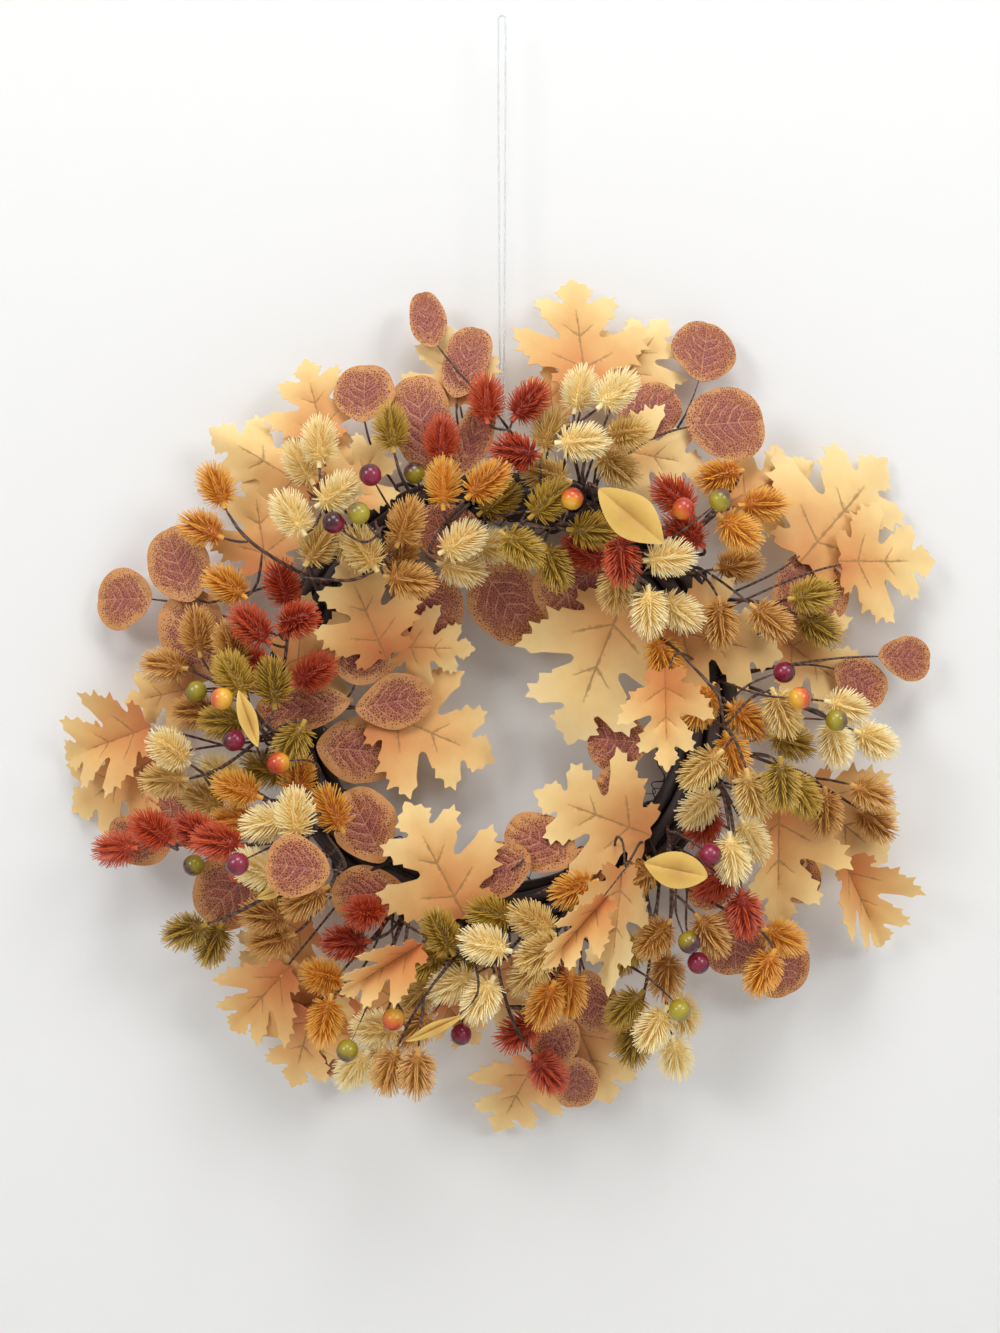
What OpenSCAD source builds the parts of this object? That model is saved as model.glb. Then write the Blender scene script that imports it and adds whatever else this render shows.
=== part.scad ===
// Harvest door wreath: a wound grapevine ring dressed with fabric leaves, bristly buds
// and berries, hung on a clear line. Millimetres. X right, Y into the wall, Z up.
// The origin is the top of the line's loop, where it sits on its hook.

/* [Vine ring] */
// Mean diameter of the ring, centre line to centre line
ring_d = 290; // [240:2:340]
// Thickness of the wound bundle
bundle_d = 38; // [30:1:46]
// Thickness of an outer vine
vine_d = 8; // [6:0.5:9]
// Times the outer vine goes round the ring
outer_laps = 8; // [6:1:9]
// Thickness of the binding tendril
tendril_d = 3; // [2:0.5:4]
// Turns of the binding tendril
tendril_turns = 13; // [8:1:18]

/* [Hanging] */
// From the top of the line's loop to the middle of the ring
drop = 480; // [430:5:560]
// Thickness of the clear line
line_d = 1.2; // [0.8:0.1:2]
// Gap between the two strands
strand_gap = 5; // [3:0.5:8]

/* [Heap] */
// Depth of the lowest leaves in front of the wall side, at the ring
dome_peak = 44; // [40:1:54]
// Reach from the ring's centre line at which the leaves meet the wall side
dome_reach = 172; // [150:2:210]
// Air kept between two pieces laid on each other
air = 0.8; // [0.4:0.1:2]

/* [Leaves] */
// Scale of the oak leaves
oak_scale = 1.04; // [0.9:0.01:1.12]
// Scale of the eucalyptus leaves
eucalyptus_scale = 1.06; // [0.9:0.01:1.12]
// Thickness of the leaf fabric
fabric_t = 0.8; // [0.6:0.1:1.2]
// Radius to which an oak leaf is bent along its length
oak_bend = 260; // [200:10:400]
// Radius of the shallow cup of a eucalyptus leaf
cup_r = 130; // [100:5:200]

/* [Buds] */
// Length of a bud over its bristle tiers
bud_l = 36; // [30:1:40]
// Diameter of a bud over its bristle tiers
bud_d = 21; // [17:0.5:24]
// Number of bristle tiers
bud_tiers = 7; // [5:1:8]

/* [Berries and stems] */
// Diameter of a berry
berry_d = 14.6; // [12:0.2:17]
// Thickness of a spray's main stem
stem_d = 2.8; // [2.2:0.1:3.4]
// Thickness of a side stem
twig_d = 2; // [1.6:0.1:2.6]

/* [Hidden] */
ring_r = ring_d / 2;
bundle_r = bundle_d / 2;
bud_r = bud_d / 2;
leaf_half = 2.4;
stub_l = 5;
colours = ["cream", "tan", "amber", "ochre", "olive", "rust"];
quarters = ["upper_right", "lower_right", "lower_left", "upper_left"];

// Places are polar about the ring, seen from the front: clock in degrees from the top,
// reach outward from the ring's centre line, turn of the piece from the outward ray.
// Oak leaves: clock, reach, turn, length, layer
oak = [
    [328, 100, 20, 56, 1], [315, 94, -10, 87, 2], [307, 66, 40, 68, 1], [330, 40, 60, 54, 1],
    [325, 56, 45, 50, 0], [351, 94, -6, 61, 0], [9, 72, -10, 42, 0], [12, 116, -15, 74, 1],
    [22, 119, 10, 55, 0], [33, 54, 65, 65, 2], [51, 100, 10, 69, 1], [61, 129, -15, 94, 1],
    [70, 140, 15, 68, 1], [74, -81, 130, 102, 2], [97, -39, 85, 61, 4], [75, 11, 25, 81, 3],
    [84, 77, 40, 68, 0], [110, 111, 15, 76, 0], [121, 76, 55, 82, 2], [119, 143, 30, 69, 1],
    [142, -49, 145, 79, 3], [204, -30, 125, 81, 3], [241, -96, -130, 85, 1], [310, -89, 145, 50, 2],
    [305, -30, 35, 70, 3], [288, -24, 145, 70, 1], [271, 93, -10, 47, 0], [264, 133, -10, 66, 1],
    [258, 134, -15, 74, 0], [223, 88, 10, 60, 0], [219, 120, 0, 61, 1], [210, 132, -10, 58, 1],
    [213, 108, 30, 65, 0], [203, 89, 30, 57, 0], [205, 44, 35, 59, 5], [163, 7, 55, 57, 5],
    [154, 18, 35, 78, 4], [166, 115, -5, 63, 0], [178, 134, 25, 56, 0],
    [187, 81, -40, 39, 0], [179, 57, 5, 52, 0],
];
// Eucalyptus leaves: clock, reach, turn, length, width, layer
eucalyptus = [
    [336, 88, 25, 35, 40, 1], [349, 127, -5, 39, 23, 1], [354, 92, 20, 47, 30, 2],
    [344, 55, 5, 60, 39, 0], [354, 37, 25, 48, 23, 2], [343, -25, -50, 49, 35, 0],
    [321, -62, -165, 49, 46, 1], [3, -78, 140, 56, 46, 0], [30, 139, -20, 41, 41, 1],
    [39, 101, 45, 48, 49, 2], [27, 80, 30, 40, 37, 1], [71, 79, -25, 52, 51, 0],
    [87, 104, 30, 39, 31, 1], [84, 138, 10, 39, 29, 1], [33, -51, -165, 53, 51, 0],
    [109, -62, 165, 35, 42, 0], [165, -45, 135, 44, 36, 1], [181, -31, 65, 35, 35, 1],
    [127, -47, 175, 26, 28, 0], [288, -45, 85, 30, 41, 2], [270, -73, 170, 46, 34, 2],
    [251, -41, -155, 47, 43, 0], [268, -8, -5, 55, 30, 3], [249, 127, 30, 42, 33, 1],
    [250, 92, 55, 52, 31, 0], [235, 84, -10, 54, 47, 1], [232, 17, 45, 33, 36, 5],
    [228, -19, 105, 46, 40, 1], [215, 17, 50, 43, 36, 0], [130, 43, 60, 42, 31, 0],
    [153, -16, -25, 23, 24, 0], [163, 73, 0, 42, 29, 2], [171, 93, 35, 32, 29, 3],
    [169, 127, 10, 35, 29, 2], [136, 88, 40, 43, 41, 1], [134, 127, 25, 35, 40, 2],
    [121, 93, 15, 33, 31, 0], [206, 140, 25, 22, 21, 0], [285, 131, -15, 38, 40, 1],
    [293, 98, 45, 47, 43, 2], [282, 73, 60, 55, 47, 1],
];
// Bud sprays: colour, root clock, root reach, buds of clock, reach, turn, nod, layer
sprays = [
    [2, 290, -7, [[307, 98, 30, 0, 2], [300, 90, -5, 0, 2], [293, 57, 10, 0, 1]]],
    [5, 273, -7, [[298, 23, 55, 25, 3], [287, 27, 25, 0, 2], [292, -2, 135, 40, 3], [279, -16, 140, 0, 2],
        [278, 24, 50, 0, 1]]],
    [3, 262, 1, [[276, 86, 0, 0, 2], [283, 66, 70, 0, 2], [282, 39, 60, 0, 1], [268, 64, 0, 0, 1]]],
    [4, 265, -2, [[276, 31, 55, 0, 3], [275, 6, 80, 0, 2], [266, 41, 5, 0, 2], [259, -4, -50, 0, 2],
        [254, 23, 30, 0, 1]]],
    [1, 253, 6, [[257, 87, 10, 0, 2], [252, 68, 45, 0, 1]]],
    [0, 256, 4, [[262, 75, 60, 40, 3], [256, 50, 40, 0, 1]]],
    [2, 244, 9, [[246, 50, 20, 0, 1], [252, 38, 40, 10, 2], [250, 1, 110, 0, 1], [238, -11, 95, 0, 1]]],
    [0, 240, 10, [[243, 22, 15, 0, 2], [242, 1, 115, 0, 3], [236, 41, 60, 0, 2]]],
    [5, 233, -2, [[249, 139, 15, 0, 2], [250, 96, 65, 35, 3], [247, 73, 50, 0, 1], [244, 58, 35, 0, 1]]],
    [4, 226, 3, [[234, 119, 15, 0, 3], [230, 113, -25, 0, 2], [230, 53, 60, 0, 1]]],
    [3, 222, 8, [[228, 68, 45, 0, 2], [225, 37, 15, 0, 2], [224, 80, 30, 0, 1]]],
    [5, 213, 1, [[213, 51, 55, 0, 2], [213, 24, 75, 50, 3]]],
    [2, 211, 5, [[213, 76, 95, 40, 2], [209, 96, -20, 30, 2]]],
    [4, 197, -3, [[197, 37, 50, 0, 2], [195, 10, 135, 0, 2], [189, 31, 90, 0, 1], [183, -3, 100, 0, 1]]],
    [0, 175, -5, [[190, 43, 55, 0, 2], [184, 11, 100, 0, 3], [184, 47, 25, 0, 3]]],
    [1, 171, -4, [[174, 37, 50, 0, 2], [172, 0, 130, 0, 2], [171, 16, 75, 0, 3]]],
    [1, 194, 6, [[196, 62, 25, 0, 1]]],
    [2, 164, 0, [[172, 55, 30, 0, 3], [167, 54, 20, 0, 2], [159, -9, 90, 0, 1]]],
    [5, 169, 2, [[173, 109, -30, 0, 2], [177, 79, 65, 0, 1], [170, 42, 155, 0, 1]]],
    [0, 195, 2, [[202, 120, 15, 0, 2], [201, 84, 65, 0, 2], [199, 115, -5, 0, 1]]],
    [3, 197, 1, [[197, 104, 0, 0, 2], [193, 97, -10, 0, 2], [195, 80, 35, 0, 1]]],
    [4, 152, -3, [[159, 108, 30, 0, 1], [158, 79, 65, 0, 2], [154, 47, 75, 0, 1]]],
    [0, 137, -6, [[154, 126, 15, 0, 2], [155, 94, 55, 0, 3], [150, 104, 10, 0, 1]]],
    [3, 134, -4, [[149, 69, 35, 0, 2], [147, 40, 85, 30, 2], [138, 61, 5, 0, 2], [142, 7, 100, 0, 1]]],
    [5, 118, 0, [[131, 67, 40, 0, 2], [130, 42, 110, 0, 1], [121, 16, 90, 0, 1]]],
    [0, 110, 2, [[124, 36, 50, 0, 3], [118, 5, 110, 0, 2], [119, 45, 35, 0, 2]]],
    [2, 91, -2, [[94, 17, 35, 0, 2], [103, 10, 60, 0, 2], [91, -12, 120, 0, 1], [75, -33, 85, 0, 1]]],
    [1, 100, 3, [[110, 27, 55, 0, 2], [108, -9, 120, 0, 2], [92, 38, 65, 0, 2]]],
    [4, 98, 0, [[107, 62, 45, 0, 2], [106, 40, 70, 0, 2], [98, 55, 10, 0, 1]]],
    [0, 87, -2, [[96, 108, 20, 0, 2], [91, 90, 15, 0, 1], [97, 79, 70, 0, 2]]],
    [3, 101, 1, [[108, 126, 20, 0, 2], [104, 113, 10, 0, 2], [109, 85, 70, 0, 1]]],
    [2, 121, 5, [[130, 103, -15, 0, 1], [136, 106, 70, 0, 1]]],
    [4, 64, -3, [[77, 76, 45, 0, 2], [71, 75, 10, 0, 3]]],
    [3, 53, -7, [[60, 41, 20, 0, 2], [73, 42, 55, 0, 2], [70, 10, 105, 0, 2]]],
    [0, 56, -15, [[49, -1, 35, 0, 3], [58, -32, 120, 0, 3], [63, -13, 65, 0, 2]]],
    [5, 42, -5, [[47, 20, -105, 20, 2], [40, 35, -90, 0, 1], [40, -24, 135, 0, 3], [29, -30, -90, 0, 1]]],
    [1, 20, -2, [[25, 51, 65, 40, 3], [26, 30, 105, 0, 2], [45, -37, 140, 0, 1], [11, 11, -85, 0, 2]]],
    [1, 12, 4, [[10, 42, 10, 0, 1]]],
    [2, 42, -3, [[53, 76, 35, 0, 2], [54, 47, 75, 0, 2], [44, 66, -150, 0, 1]]],
    [0, 10, -2, [[14, 71, 0, 0, 2], [20, 72, 25, 0, 3], [17, 32, 70, 0, 3]]],
    [5, 5, -4, [[5, 58, 35, 0, 3], [357, 59, 0, 0, 3], [3, 21, -85, 0, 2]]],
    [5, 349, 2, [[347, 36, 15, 0, 2]]],
    [2, 351, -6, [[345, 5, 15, 0, 3], [356, 0, 55, 0, 3]]],
    [4, 2, -4, [[13, -8, 35, 0, 2], [359, -8, 55, 0, 1]]],
    [4, 337, 4, [[338, 54, 15, 0, 1]]],
    [4, 5, -14, [[28, -16, 65, 0, 2], [21, -48, 135, 0, 2], [7, -42, 120, 0, 2]]],
    [0, 340, -21, [[346, -35, 75, 0, 3], [343, -51, 120, 0, 2], [356, -39, 95, 0, 1]]],
    [3, 319, -27, [[332, -11, 50, 0, 3], [326, -24, 45, 0, 2], [323, -44, 135, 0, 2]]],
    [1, 316, -11, [[311, 14, 85, 0, 2], [316, -4, 175, 0, 1], [318, -10, 10, 0, 2]]],
    [0, 313, -4, [[325, 66, 35, 0, 3], [320, 65, 10, 0, 2], [322, 30, 95, 0, 3], [312, 40, 15, 0, 2]]],
];
// Berry picks: berries of clock, reach, colour
picks = [
    [[339, 21, 1], [330, 26, 0], [323, 8, 1], [317, 14, 0]],
    [[47, 49, 1], [43, 28, 2], [36, 13, 0], [19, -4, 2]],
    [[93, 75, 1], [89, 47, 2], [84, 45, 0]],
    [[150, 88, 1], [143, 70, 0], [142, 53, 1], [126, 21, 0]],
    [[204, 103, 1], [199, 70, 2], [187, 85, 0]],
    [[242, 94, 1], [237, 69, 2], [239, 47, 0]],
    [[272, 61, 1], [271, 35, 2], [262, 33, 0], [255, 5, 2]],
];
berry_colours = ["burgundy", "olive", "orange"];
// Small mustard leaves: clock, reach, turn, length, width
small = [[35, 1, 95, 49, 28], [267, 18, 75, 34, 12], [231, 43, 15, 16, 7], [134, 8, 145, 36, 24],
    [192, 65, 50, 38, 8]];

// Half outlines of the two leaf shapes, along and across, for a leaf one unit long
oak_side = [[0, 0.025], [0.10, 0.20], [0.16, 0.34], [0.24, 0.33], [0.29, 0.24], [0.34, 0.36], [0.37, 0.48],
    [0.47, 0.49], [0.55, 0.42], [0.51, 0.27], [0.50, 0.15], [0.59, 0.20], [0.68, 0.29], [0.79, 0.27],
    [0.82, 0.17], [0.80, 0.09], [0.88, 0.08]];

function unit(v) = v / norm(v);
function ray(c) = [sin(c), cos(c)];
function dome(r) = dome_peak * (1 - pow((r - ring_r) / dome_reach, 2));
function lean(r) = -2 * dome_peak * (r - ring_r) / pow(dome_reach, 2);
// A point at plan x, z and height h in front of the wall side
function spot(p, h) = [p[0], bundle_r - h, p[1] - drop];

// A piece: clock, reach, turn, nod, length, half thickness, footprint discs along it, kind, index
function piece(c, reach, turn, nod, len, half, discs, kind, i) =
    let (r = ring_r + reach, p = r * ray(c), g = lean(r) * ray(c), d = ray(c + turn))
    [p, dome(r), g, half, [for (q = discs) [p[0] + q[0] * d[0], p[1] + q[0] * d[1], q[1]]],
        d, nod, len, kind, i];
function oak_piece(i) =
    let (o = oak[i], l = o[3] * oak_scale)
    piece(o[0], o[1], o[2], 0, l, leaf_half,
        [[-0.30 * l, 0.24 * l], [-0.08 * l, 0.42 * l], [0.22 * l, 0.24 * l], [0.4 * l, 0.1 * l]], 0, i);
function eucalyptus_piece(i) =
    let (e = eucalyptus[i], l = e[3] * eucalyptus_scale, w = e[4] * eucalyptus_scale / 2)
    piece(e[0], e[1], e[2], 0, l, leaf_half * 0.85,
        [for (s = [-1, 0, 1]) [s * max(0.12 * l, l / 2 - w), min(w, l / 2) * (s == 0 ? 1 : 0.9)]], 1, i);
function bud_piece(s, k) =
    let (b = sprays[s][3][k], rise = sin(b[3]) * bud_l * 0.3)
    piece(b[0], b[1], b[2], b[3], bud_l, bud_r + rise * 0.6,
        [for (q = [-0.27, -0.09, 0.09, 0.27]) [q * bud_l * cos(b[3]), 0]], 2, [s, k]);
function berry_piece(s, k) =
    let (b = picks[s][k]) piece(b[0], b[1], 0, 0, berry_d, berry_d / 2, [[0, 0]], 3, [s, k]);
function small_piece(i) =
    let (e = small[i]) piece(e[0], e[1], e[2], 0, e[3], leaf_half,
        [for (s = [-0.3, 0, 0.3]) [s * e[3], e[4] / 2]], 4, i);

// Laying order: leaf layers from the back, buds, berries, small leaves, then the front leaves
function leaf_layer(n) = concat(
    [for (i = [0 : len(oak) - 1]) if (oak[i][4] == n) oak_piece(i)],
    [for (i = [0 : len(eucalyptus) - 1]) if (eucalyptus[i][5] == n) eucalyptus_piece(i)]);
function bud_layer(n) =
    [for (s = [0 : len(sprays) - 1]) for (k = [0 : len(sprays[s][3]) - 1])
        if (sprays[s][3][k][4] == n) bud_piece(s, k)];
order = concat(
    leaf_layer(0), leaf_layer(1), leaf_layer(2), leaf_layer(3),
    bud_layer(1), bud_layer(2), bud_layer(3),
    [for (s = [0 : len(picks) - 1]) for (k = [0 : len(picks[s]) - 1]) berry_piece(s, k)],
    [for (i = [0 : len(small) - 1]) small_piece(i)],
    leaf_layer(4), leaf_layer(5));

function level(a, x, z) = a[1] + a[2][0] * (x - a[0][0]) + a[2][1] * (z - a[0][1]);
// How far piece a has to come forward to clear piece b, which already lies at lift t
function clear_of(a, b, t) =
    let (sum = a[3] + b[3] + air)
    [for (p = a[4]) for (q = b[4])
        let (d = norm([p[0] - q[0], p[1] - q[1]]), gap = d - p[2] - q[2])
        if (gap < sum)
            let (w = d == 0 ? 0 : (p[2] + a[3] / 2) / (p[2] + q[2] + (a[3] + b[3]) / 2),
                x = p[0] + w * (q[0] - p[0]), z = p[1] + w * (q[1] - p[1]))
            level(b, x, z) + t + sqrt(pow(sum, 2) - pow(max(0, gap), 2)) - level(a, x, z)];
function span(a) = a[7] * 0.62 + a[3];
function lift_of(i, done) =
    max(concat([order[i][3] - leaf_half],
        [for (j = [0 : 1 : i - 1])
            if (norm(order[i][0] - order[j][0]) < span(order[i]) + span(order[j]))
                each clear_of(order[i], order[j], done[j])]));
function lay(done = []) = len(done) == len(order) ? done : lay(concat(done, [lift_of(len(done), done)]));
lifts = lay();

// Frame of a laid piece: place, axis toward its tip, face toward the viewer
function placed(i) =
    let (a = order[i], n0 = unit([-a[2][0], -1, -a[2][1]]),
        a0 = unit([a[5][0], -(a[2] * a[5]), a[5][1]]),
        ax = a0 * cos(a[6]) + n0 * sin(a[6]), n = n0 * cos(a[6]) - a0 * sin(a[6]))
    [spot(a[0], a[1] + lifts[i]), ax, n, a[7], droop(a[8], a[7])];
function find(kind, i) = [for (j = [0 : len(order) - 1]) if (order[j][8] == kind && order[j][9] == i) j][0];
function droop(kind, l) =
    let (r = kind == 0 ? oak_bend : cup_r) kind == 2 || kind == 3 ? 0 : r - sqrt(r * r - l * l / 4);
function foot(f) = f[0] - f[1] * (f[3] / 2) - f[2] * f[4];
module at(f) {
    x = cross(f[1], f[2]);
    multmatrix([[x[0], -f[2][0], f[1][0], f[0][0]], [x[1], -f[2][1], f[1][1], f[0][1]],
        [x[2], -f[2][2], f[1][2], f[0][2]]])
        children();
}

// A tube through points, with a radius at each
module tube(path, radii, sides) {
    last = len(path) - 1;
    ahead = [for (i = [0 : last]) unit(path[min(i + 1, last)] - path[max(i - 1, 0)])];
    points = [for (i = [0 : last])
        let (u = unit(cross(ahead[i], [0.31, 0.2, 0.93])), v = cross(ahead[i], u))
        for (k = [0 : sides - 1])
            path[i] + radii[i] * (u * cos(360 * k / sides) + v * sin(360 * k / sides))];
    skin = [for (i = [0 : last - 1]) for (k = [0 : sides - 1])
        [i * sides + k, (i + 1) * sides + k, (i + 1) * sides + (k + 1) % sides, i * sides + (k + 1) % sides]];
    polyhedron(points, concat([[for (k = [0 : sides - 1]) k]], skin,
        [[for (k = [sides - 1 : -1 : 0]) last * sides + k]]));
}
function curve(p, t) =
    pow(1 - t, 3) * p[0] + 3 * pow(1 - t, 2) * t * p[1] + 3 * (1 - t) * t * t * p[2] + pow(t, 3) * p[3];
module stem(p, d0, d1, steps, sides) {
    tube([for (i = [0 : steps]) curve(p, i / steps)],
        [for (i = [0 : steps]) (d0 + (d1 - d0) * i / steps) / 2], sides);
}

// Vine wound on the bundle: laps round the ring, turns round the bundle's centre line
function winding(laps, turns, radius, t, start) =
    let (a = start + 360 * laps * t, b = 360 * turns * t,
        r = ring_r + radius * cos(b))
    [r * sin(a), radius * sin(b), r * cos(a) - drop];
module wound(laps, turns, radius, d, per_lap, sides, start) {
    n = laps * per_lap;
    tube([for (i = [0 : n]) winding(laps, turns, radius, i / n * 0.985, start)],
        [for (i = [0 : n]) d / 2 * (1 + 0.1 * sin(i * 137) * (i % 3 == 0 ? 1 : 0.4))
            * min(1, 0.45 + (n - i) * 0.14, 0.45 + i * 0.14)],
        sides);
}
module outer_vine_coil() color("#3a2d2a") wound(outer_laps, 5, bundle_r - vine_d / 2 - 0.4, vine_d, 24, 6, 8);
module inner_vine_coil() color("#2f2522") wound(3, 2, bundle_r * 0.29, vine_d * 1.05, 22, 6, 190);
module binding_tendril() color("#4a3a30") wound(1, tendril_turns, bundle_r + tendril_d / 2 + 1.6, tendril_d,
    tendril_turns * 11, 5, 2.7);

// Oak leaf, flat side to the viewer, bent back along its length
module oak_leaf(l) {
    rim = concat([[0, l / 2]],
        [for (i = [len(oak_side) - 1 : -1 : 0]) [oak_side[i][1] * l, (oak_side[i][0] - 0.5) * l]],
        [for (q = oak_side) [-q[1] * l, (q[0] - 0.5) * l]]);
    intersection() {
        rotate([90, 0, 0]) linear_extrude(60, center = true) polygon(rim);
        translate([0, oak_bend, 0]) rotate([0, 90, 0]) difference() {
            cylinder(r = oak_bend + fabric_t / 2, h = 2 * l, center = true, $fn = 360);
            cylinder(r = oak_bend - fabric_t / 2, h = 3 * l, center = true, $fn = 360);
        }
    }
}
// Round leaf with a pointed foot and tip, cupped toward the wall
module round_leaf(l, w) {
    rim = [for (a = [0 : 12 : 348])
        let (s = -cos(a), e = pow(abs(sin(a)), s < 0 ? 0.9 : 0.75))
        [w / 2 * e * (a > 180 ? -1 : 1), l / 2 * s]];
    intersection() {
        rotate([90, 0, 0]) linear_extrude(40, center = true) polygon(rim);
        translate([0, cup_r, 0]) difference() {
            sphere(r = cup_r + fabric_t / 2, $fn = 240);
            sphere(r = cup_r - fabric_t / 2, $fn = 240);
        }
    }
}
// Bud of bristle tiers opening toward the tip, on a short stub
module bud() {
    body = bud_l - stub_l;
    step = body / bud_tiers;
    side = [for (k = [0 : bud_tiers - 1])
        let (s = (k + 0.5) / bud_tiers, e = bud_r * (0.42 + 0.58 * sin(18 + 150 * pow(s, 0.85))))
        each [[e * 0.62, k * step], [e, (k + 0.82) * step]]];
    translate([0, 0, stub_l - bud_l / 2]) rotate_extrude($fn = 48)
        polygon(concat([[0, -stub_l], [1.7, -stub_l], [1.7, 0]], side, [[bud_r * 0.3, body], [0, body]]));
}
module berry() rotate_extrude($fn = 48)
    polygon(concat([[0, -berry_d / 2]],
        [for (a = [-78 : 12 : 78]) berry_d / 2 * [cos(a), sin(a)]],
        [[0.9, berry_d / 2 + 0.3], [0, berry_d / 2 + 0.3]]));

module oak_leaves(h) color("#e3b677")
    for (i = [0 : len(oak) - 1]) if (floor(oak[i][0] / 30) == h)
        at(placed(find(0, i))) oak_leaf(oak[i][3] * oak_scale);
module eucalyptus_leaves(h) color("#8c4a3a")
    for (i = [0 : len(eucalyptus) - 1]) if (floor(eucalyptus[i][0] / 36) == h)
        at(placed(find(1, i)))
            round_leaf(eucalyptus[i][3] * eucalyptus_scale, eucalyptus[i][4] * eucalyptus_scale);
bud_tints = ["#f3e2ae", "#d9b878", "#e09a2e", "#b8803a", "#9a7a22", "#b5442a"];
module buds(c, q) color(bud_tints[c])
    for (s = [0 : len(sprays) - 1]) for (k = [0 : len(sprays[s][3]) - 1])
        if (sprays[s][0] == c && floor(sprays[s][3][k][0] / 90) == q) at(placed(find(2, [s, k]))) bud();
berry_tints = ["#7a1f33", "#a09a22", "#e8642a"];
module berries(c) color(berry_tints[c])
    for (s = [0 : len(picks) - 1]) for (k = [0 : len(picks[s]) - 1])
        if (picks[s][k][2] == c) at(placed(find(3, [s, k]))) berry();
module small_leaves() color("#d6a94e")
    for (i = [0 : len(small) - 1]) at(placed(find(4, i))) round_leaf(small[i][3], small[i][4]);

// Air between a point and a laid piece, and the least air along a stem, leaving out its own piece
function air_to(j, p, h) =
    let (b = order[j])
    norm(p - b[0]) > span(b) + 12 ? 12 :
        min([for (q = b[4]) norm([max(0, norm([p[0] - q[0], p[1] - q[1]]) - q[2]),
            h - level(b, p[0], p[1]) - lifts[j]])]) - b[3];
function near(p, q, own) =
    let (m = [(p[0] + q[0]) / 2, (p[2] + q[2]) / 2 + drop], w = norm([p[0] - q[0], p[2] - q[2]]) / 2 + 42)
    [for (j = [0 : len(order) - 1]) if (j != own && norm(order[j][0] - m) < w + span(order[j])) j];
function best(ways, own) =
    let (js = near(ways[0][0][0], ways[0][0][3], own),
        marks = [for (w = ways)
            min([4, for (t = [0.04, 0.09, 0.15, 0.23, 0.35, 0.5, 0.65, 0.8, 0.92])
                let (pt = curve(w[0], t))
                for (j = js) air_to(j, [pt[0], pt[2] + drop], bundle_r - pt[1])]) - w[1]],
        top = max(marks))
    [for (i = [0 : len(ways) - 1]) if (marks[i] == top) ways[i][0]][0];
// A leaf stem leaves the bundle near its leaf's foot, from the front or the side, where there is room
function leaf_ways(j) =
    let (f = placed(j), b = foot(f), c = atan2(b[0], b[2] + drop), reach = norm([b[0], b[2] + drop]) - ring_r)
    [for (dc = [-18 : 4.5 : 18]) for (k = [0, 1]) for (dip = [0, 0.2, -0.2])
        let (side = k == 0 ? max(-1, min(1, reach / bundle_r)) : 0.3 * sign(reach),
            out = [side, sqrt(1 - 0.96 * side * side)], u = ray(c + dc),
            p = spot((ring_r + out[0] * (bundle_r - 9)) * u, bundle_r + out[1] * (bundle_r - 9)),
            d = norm(b - p))
        [[p, p + [out[0] * u[0], -out[1], out[0] * u[1]] * d * 0.3, b - f[1] * d * 0.35 - f[2] * d * dip,
            b + f[1] * 1.5], abs(dc) / 20 + k * 0.3 + abs(dip)]];
module leaf_stem(j) stem(best(leaf_ways(j), j), twig_d * 1.15, twig_d * 0.8, 4, 4);
module oak_stems() color("#4a3424") for (i = [0 : len(oak) - 1]) leaf_stem(find(0, i));
module eucalyptus_stems() color("#4a3424") for (i = [0 : len(eucalyptus) - 1]) leaf_stem(find(1, i));
// Main stem to a spray's first piece, from the bundle's front where there is room
function main_ways(c, reach, j) =
    let (f = placed(j), b = foot(f))
    [for (dc = [-16 : 2 : 16]) for (dr = [-16, -8, 0, 8, 16]) for (dip = [0, 8, 18, 30])
        let (p = spot((ring_r + max(-16, min(16, reach + dr))) * ray(c + dc), bundle_d - 13), d = norm(b - p))
        [[p, [p[0], b[1] * 0.9 + p[1] * 0.1 - dip, p[2]] + (b - p) * 0.03, b - f[1] * d * 0.4 + f[2] * dip,
            b + f[1] * 1.5], abs(dc) / 20 + abs(dr) / 30 + dip / 30]];
function side_way(m, j) =
    let (f = placed(j), b = foot(f), t0 = (b - m[0]) * (m[3] - m[0]) / pow(norm(m[3] - m[0]), 2) - 0.18)
    best([for (dt = [0, -0.15, 0.12, -0.3, 0.25]) for (dip = [0, 5, -5])
        let (q = curve(m, max(0.2, min(0.88, t0 + dt))), d = norm(b - q))
        [[q, q + (b - q) * 0.3 + f[2] * dip, b - f[1] * d * 0.35 + f[2] * dip, b + f[1] * 1.5],
            abs(dt) + abs(dip) / 20]], j);
function spray_buds(s) = [for (k = [0 : len(sprays[s][3]) - 1]) find(2, [s, k])];
function spray_main(s, js) = best(main_ways(sprays[s][1], sprays[s][2], js[0]), js[0]);
module bud_stems() color("#4a3424")
    for (s = [0 : len(sprays) - 1]) stem(spray_main(s, spray_buds(s)), stem_d, twig_d, 4, 6);
module side_stems() color("#4a3424")
    for (s = [0 : len(sprays) - 1])
        let (js = spray_buds(s), m = spray_main(s, js))
            for (k = [1 : 1 : len(js) - 1]) stem(side_way(m, js[k]), twig_d, twig_d * 0.9, 2, 5);
module berry_wires() color("#4a3424") {
    for (i = [0 : len(small) - 1]) leaf_stem(find(4, i));
    for (s = [0 : len(picks) - 1]) for (k = [0 : len(picks[s]) - 1])
        let (j = find(3, [s, k]))
            stem(best(concat(main_ways(picks[s][k][0], 0, j), leaf_ways(j)), j), twig_d, twig_d * 0.8, 4, 4);
}

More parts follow.
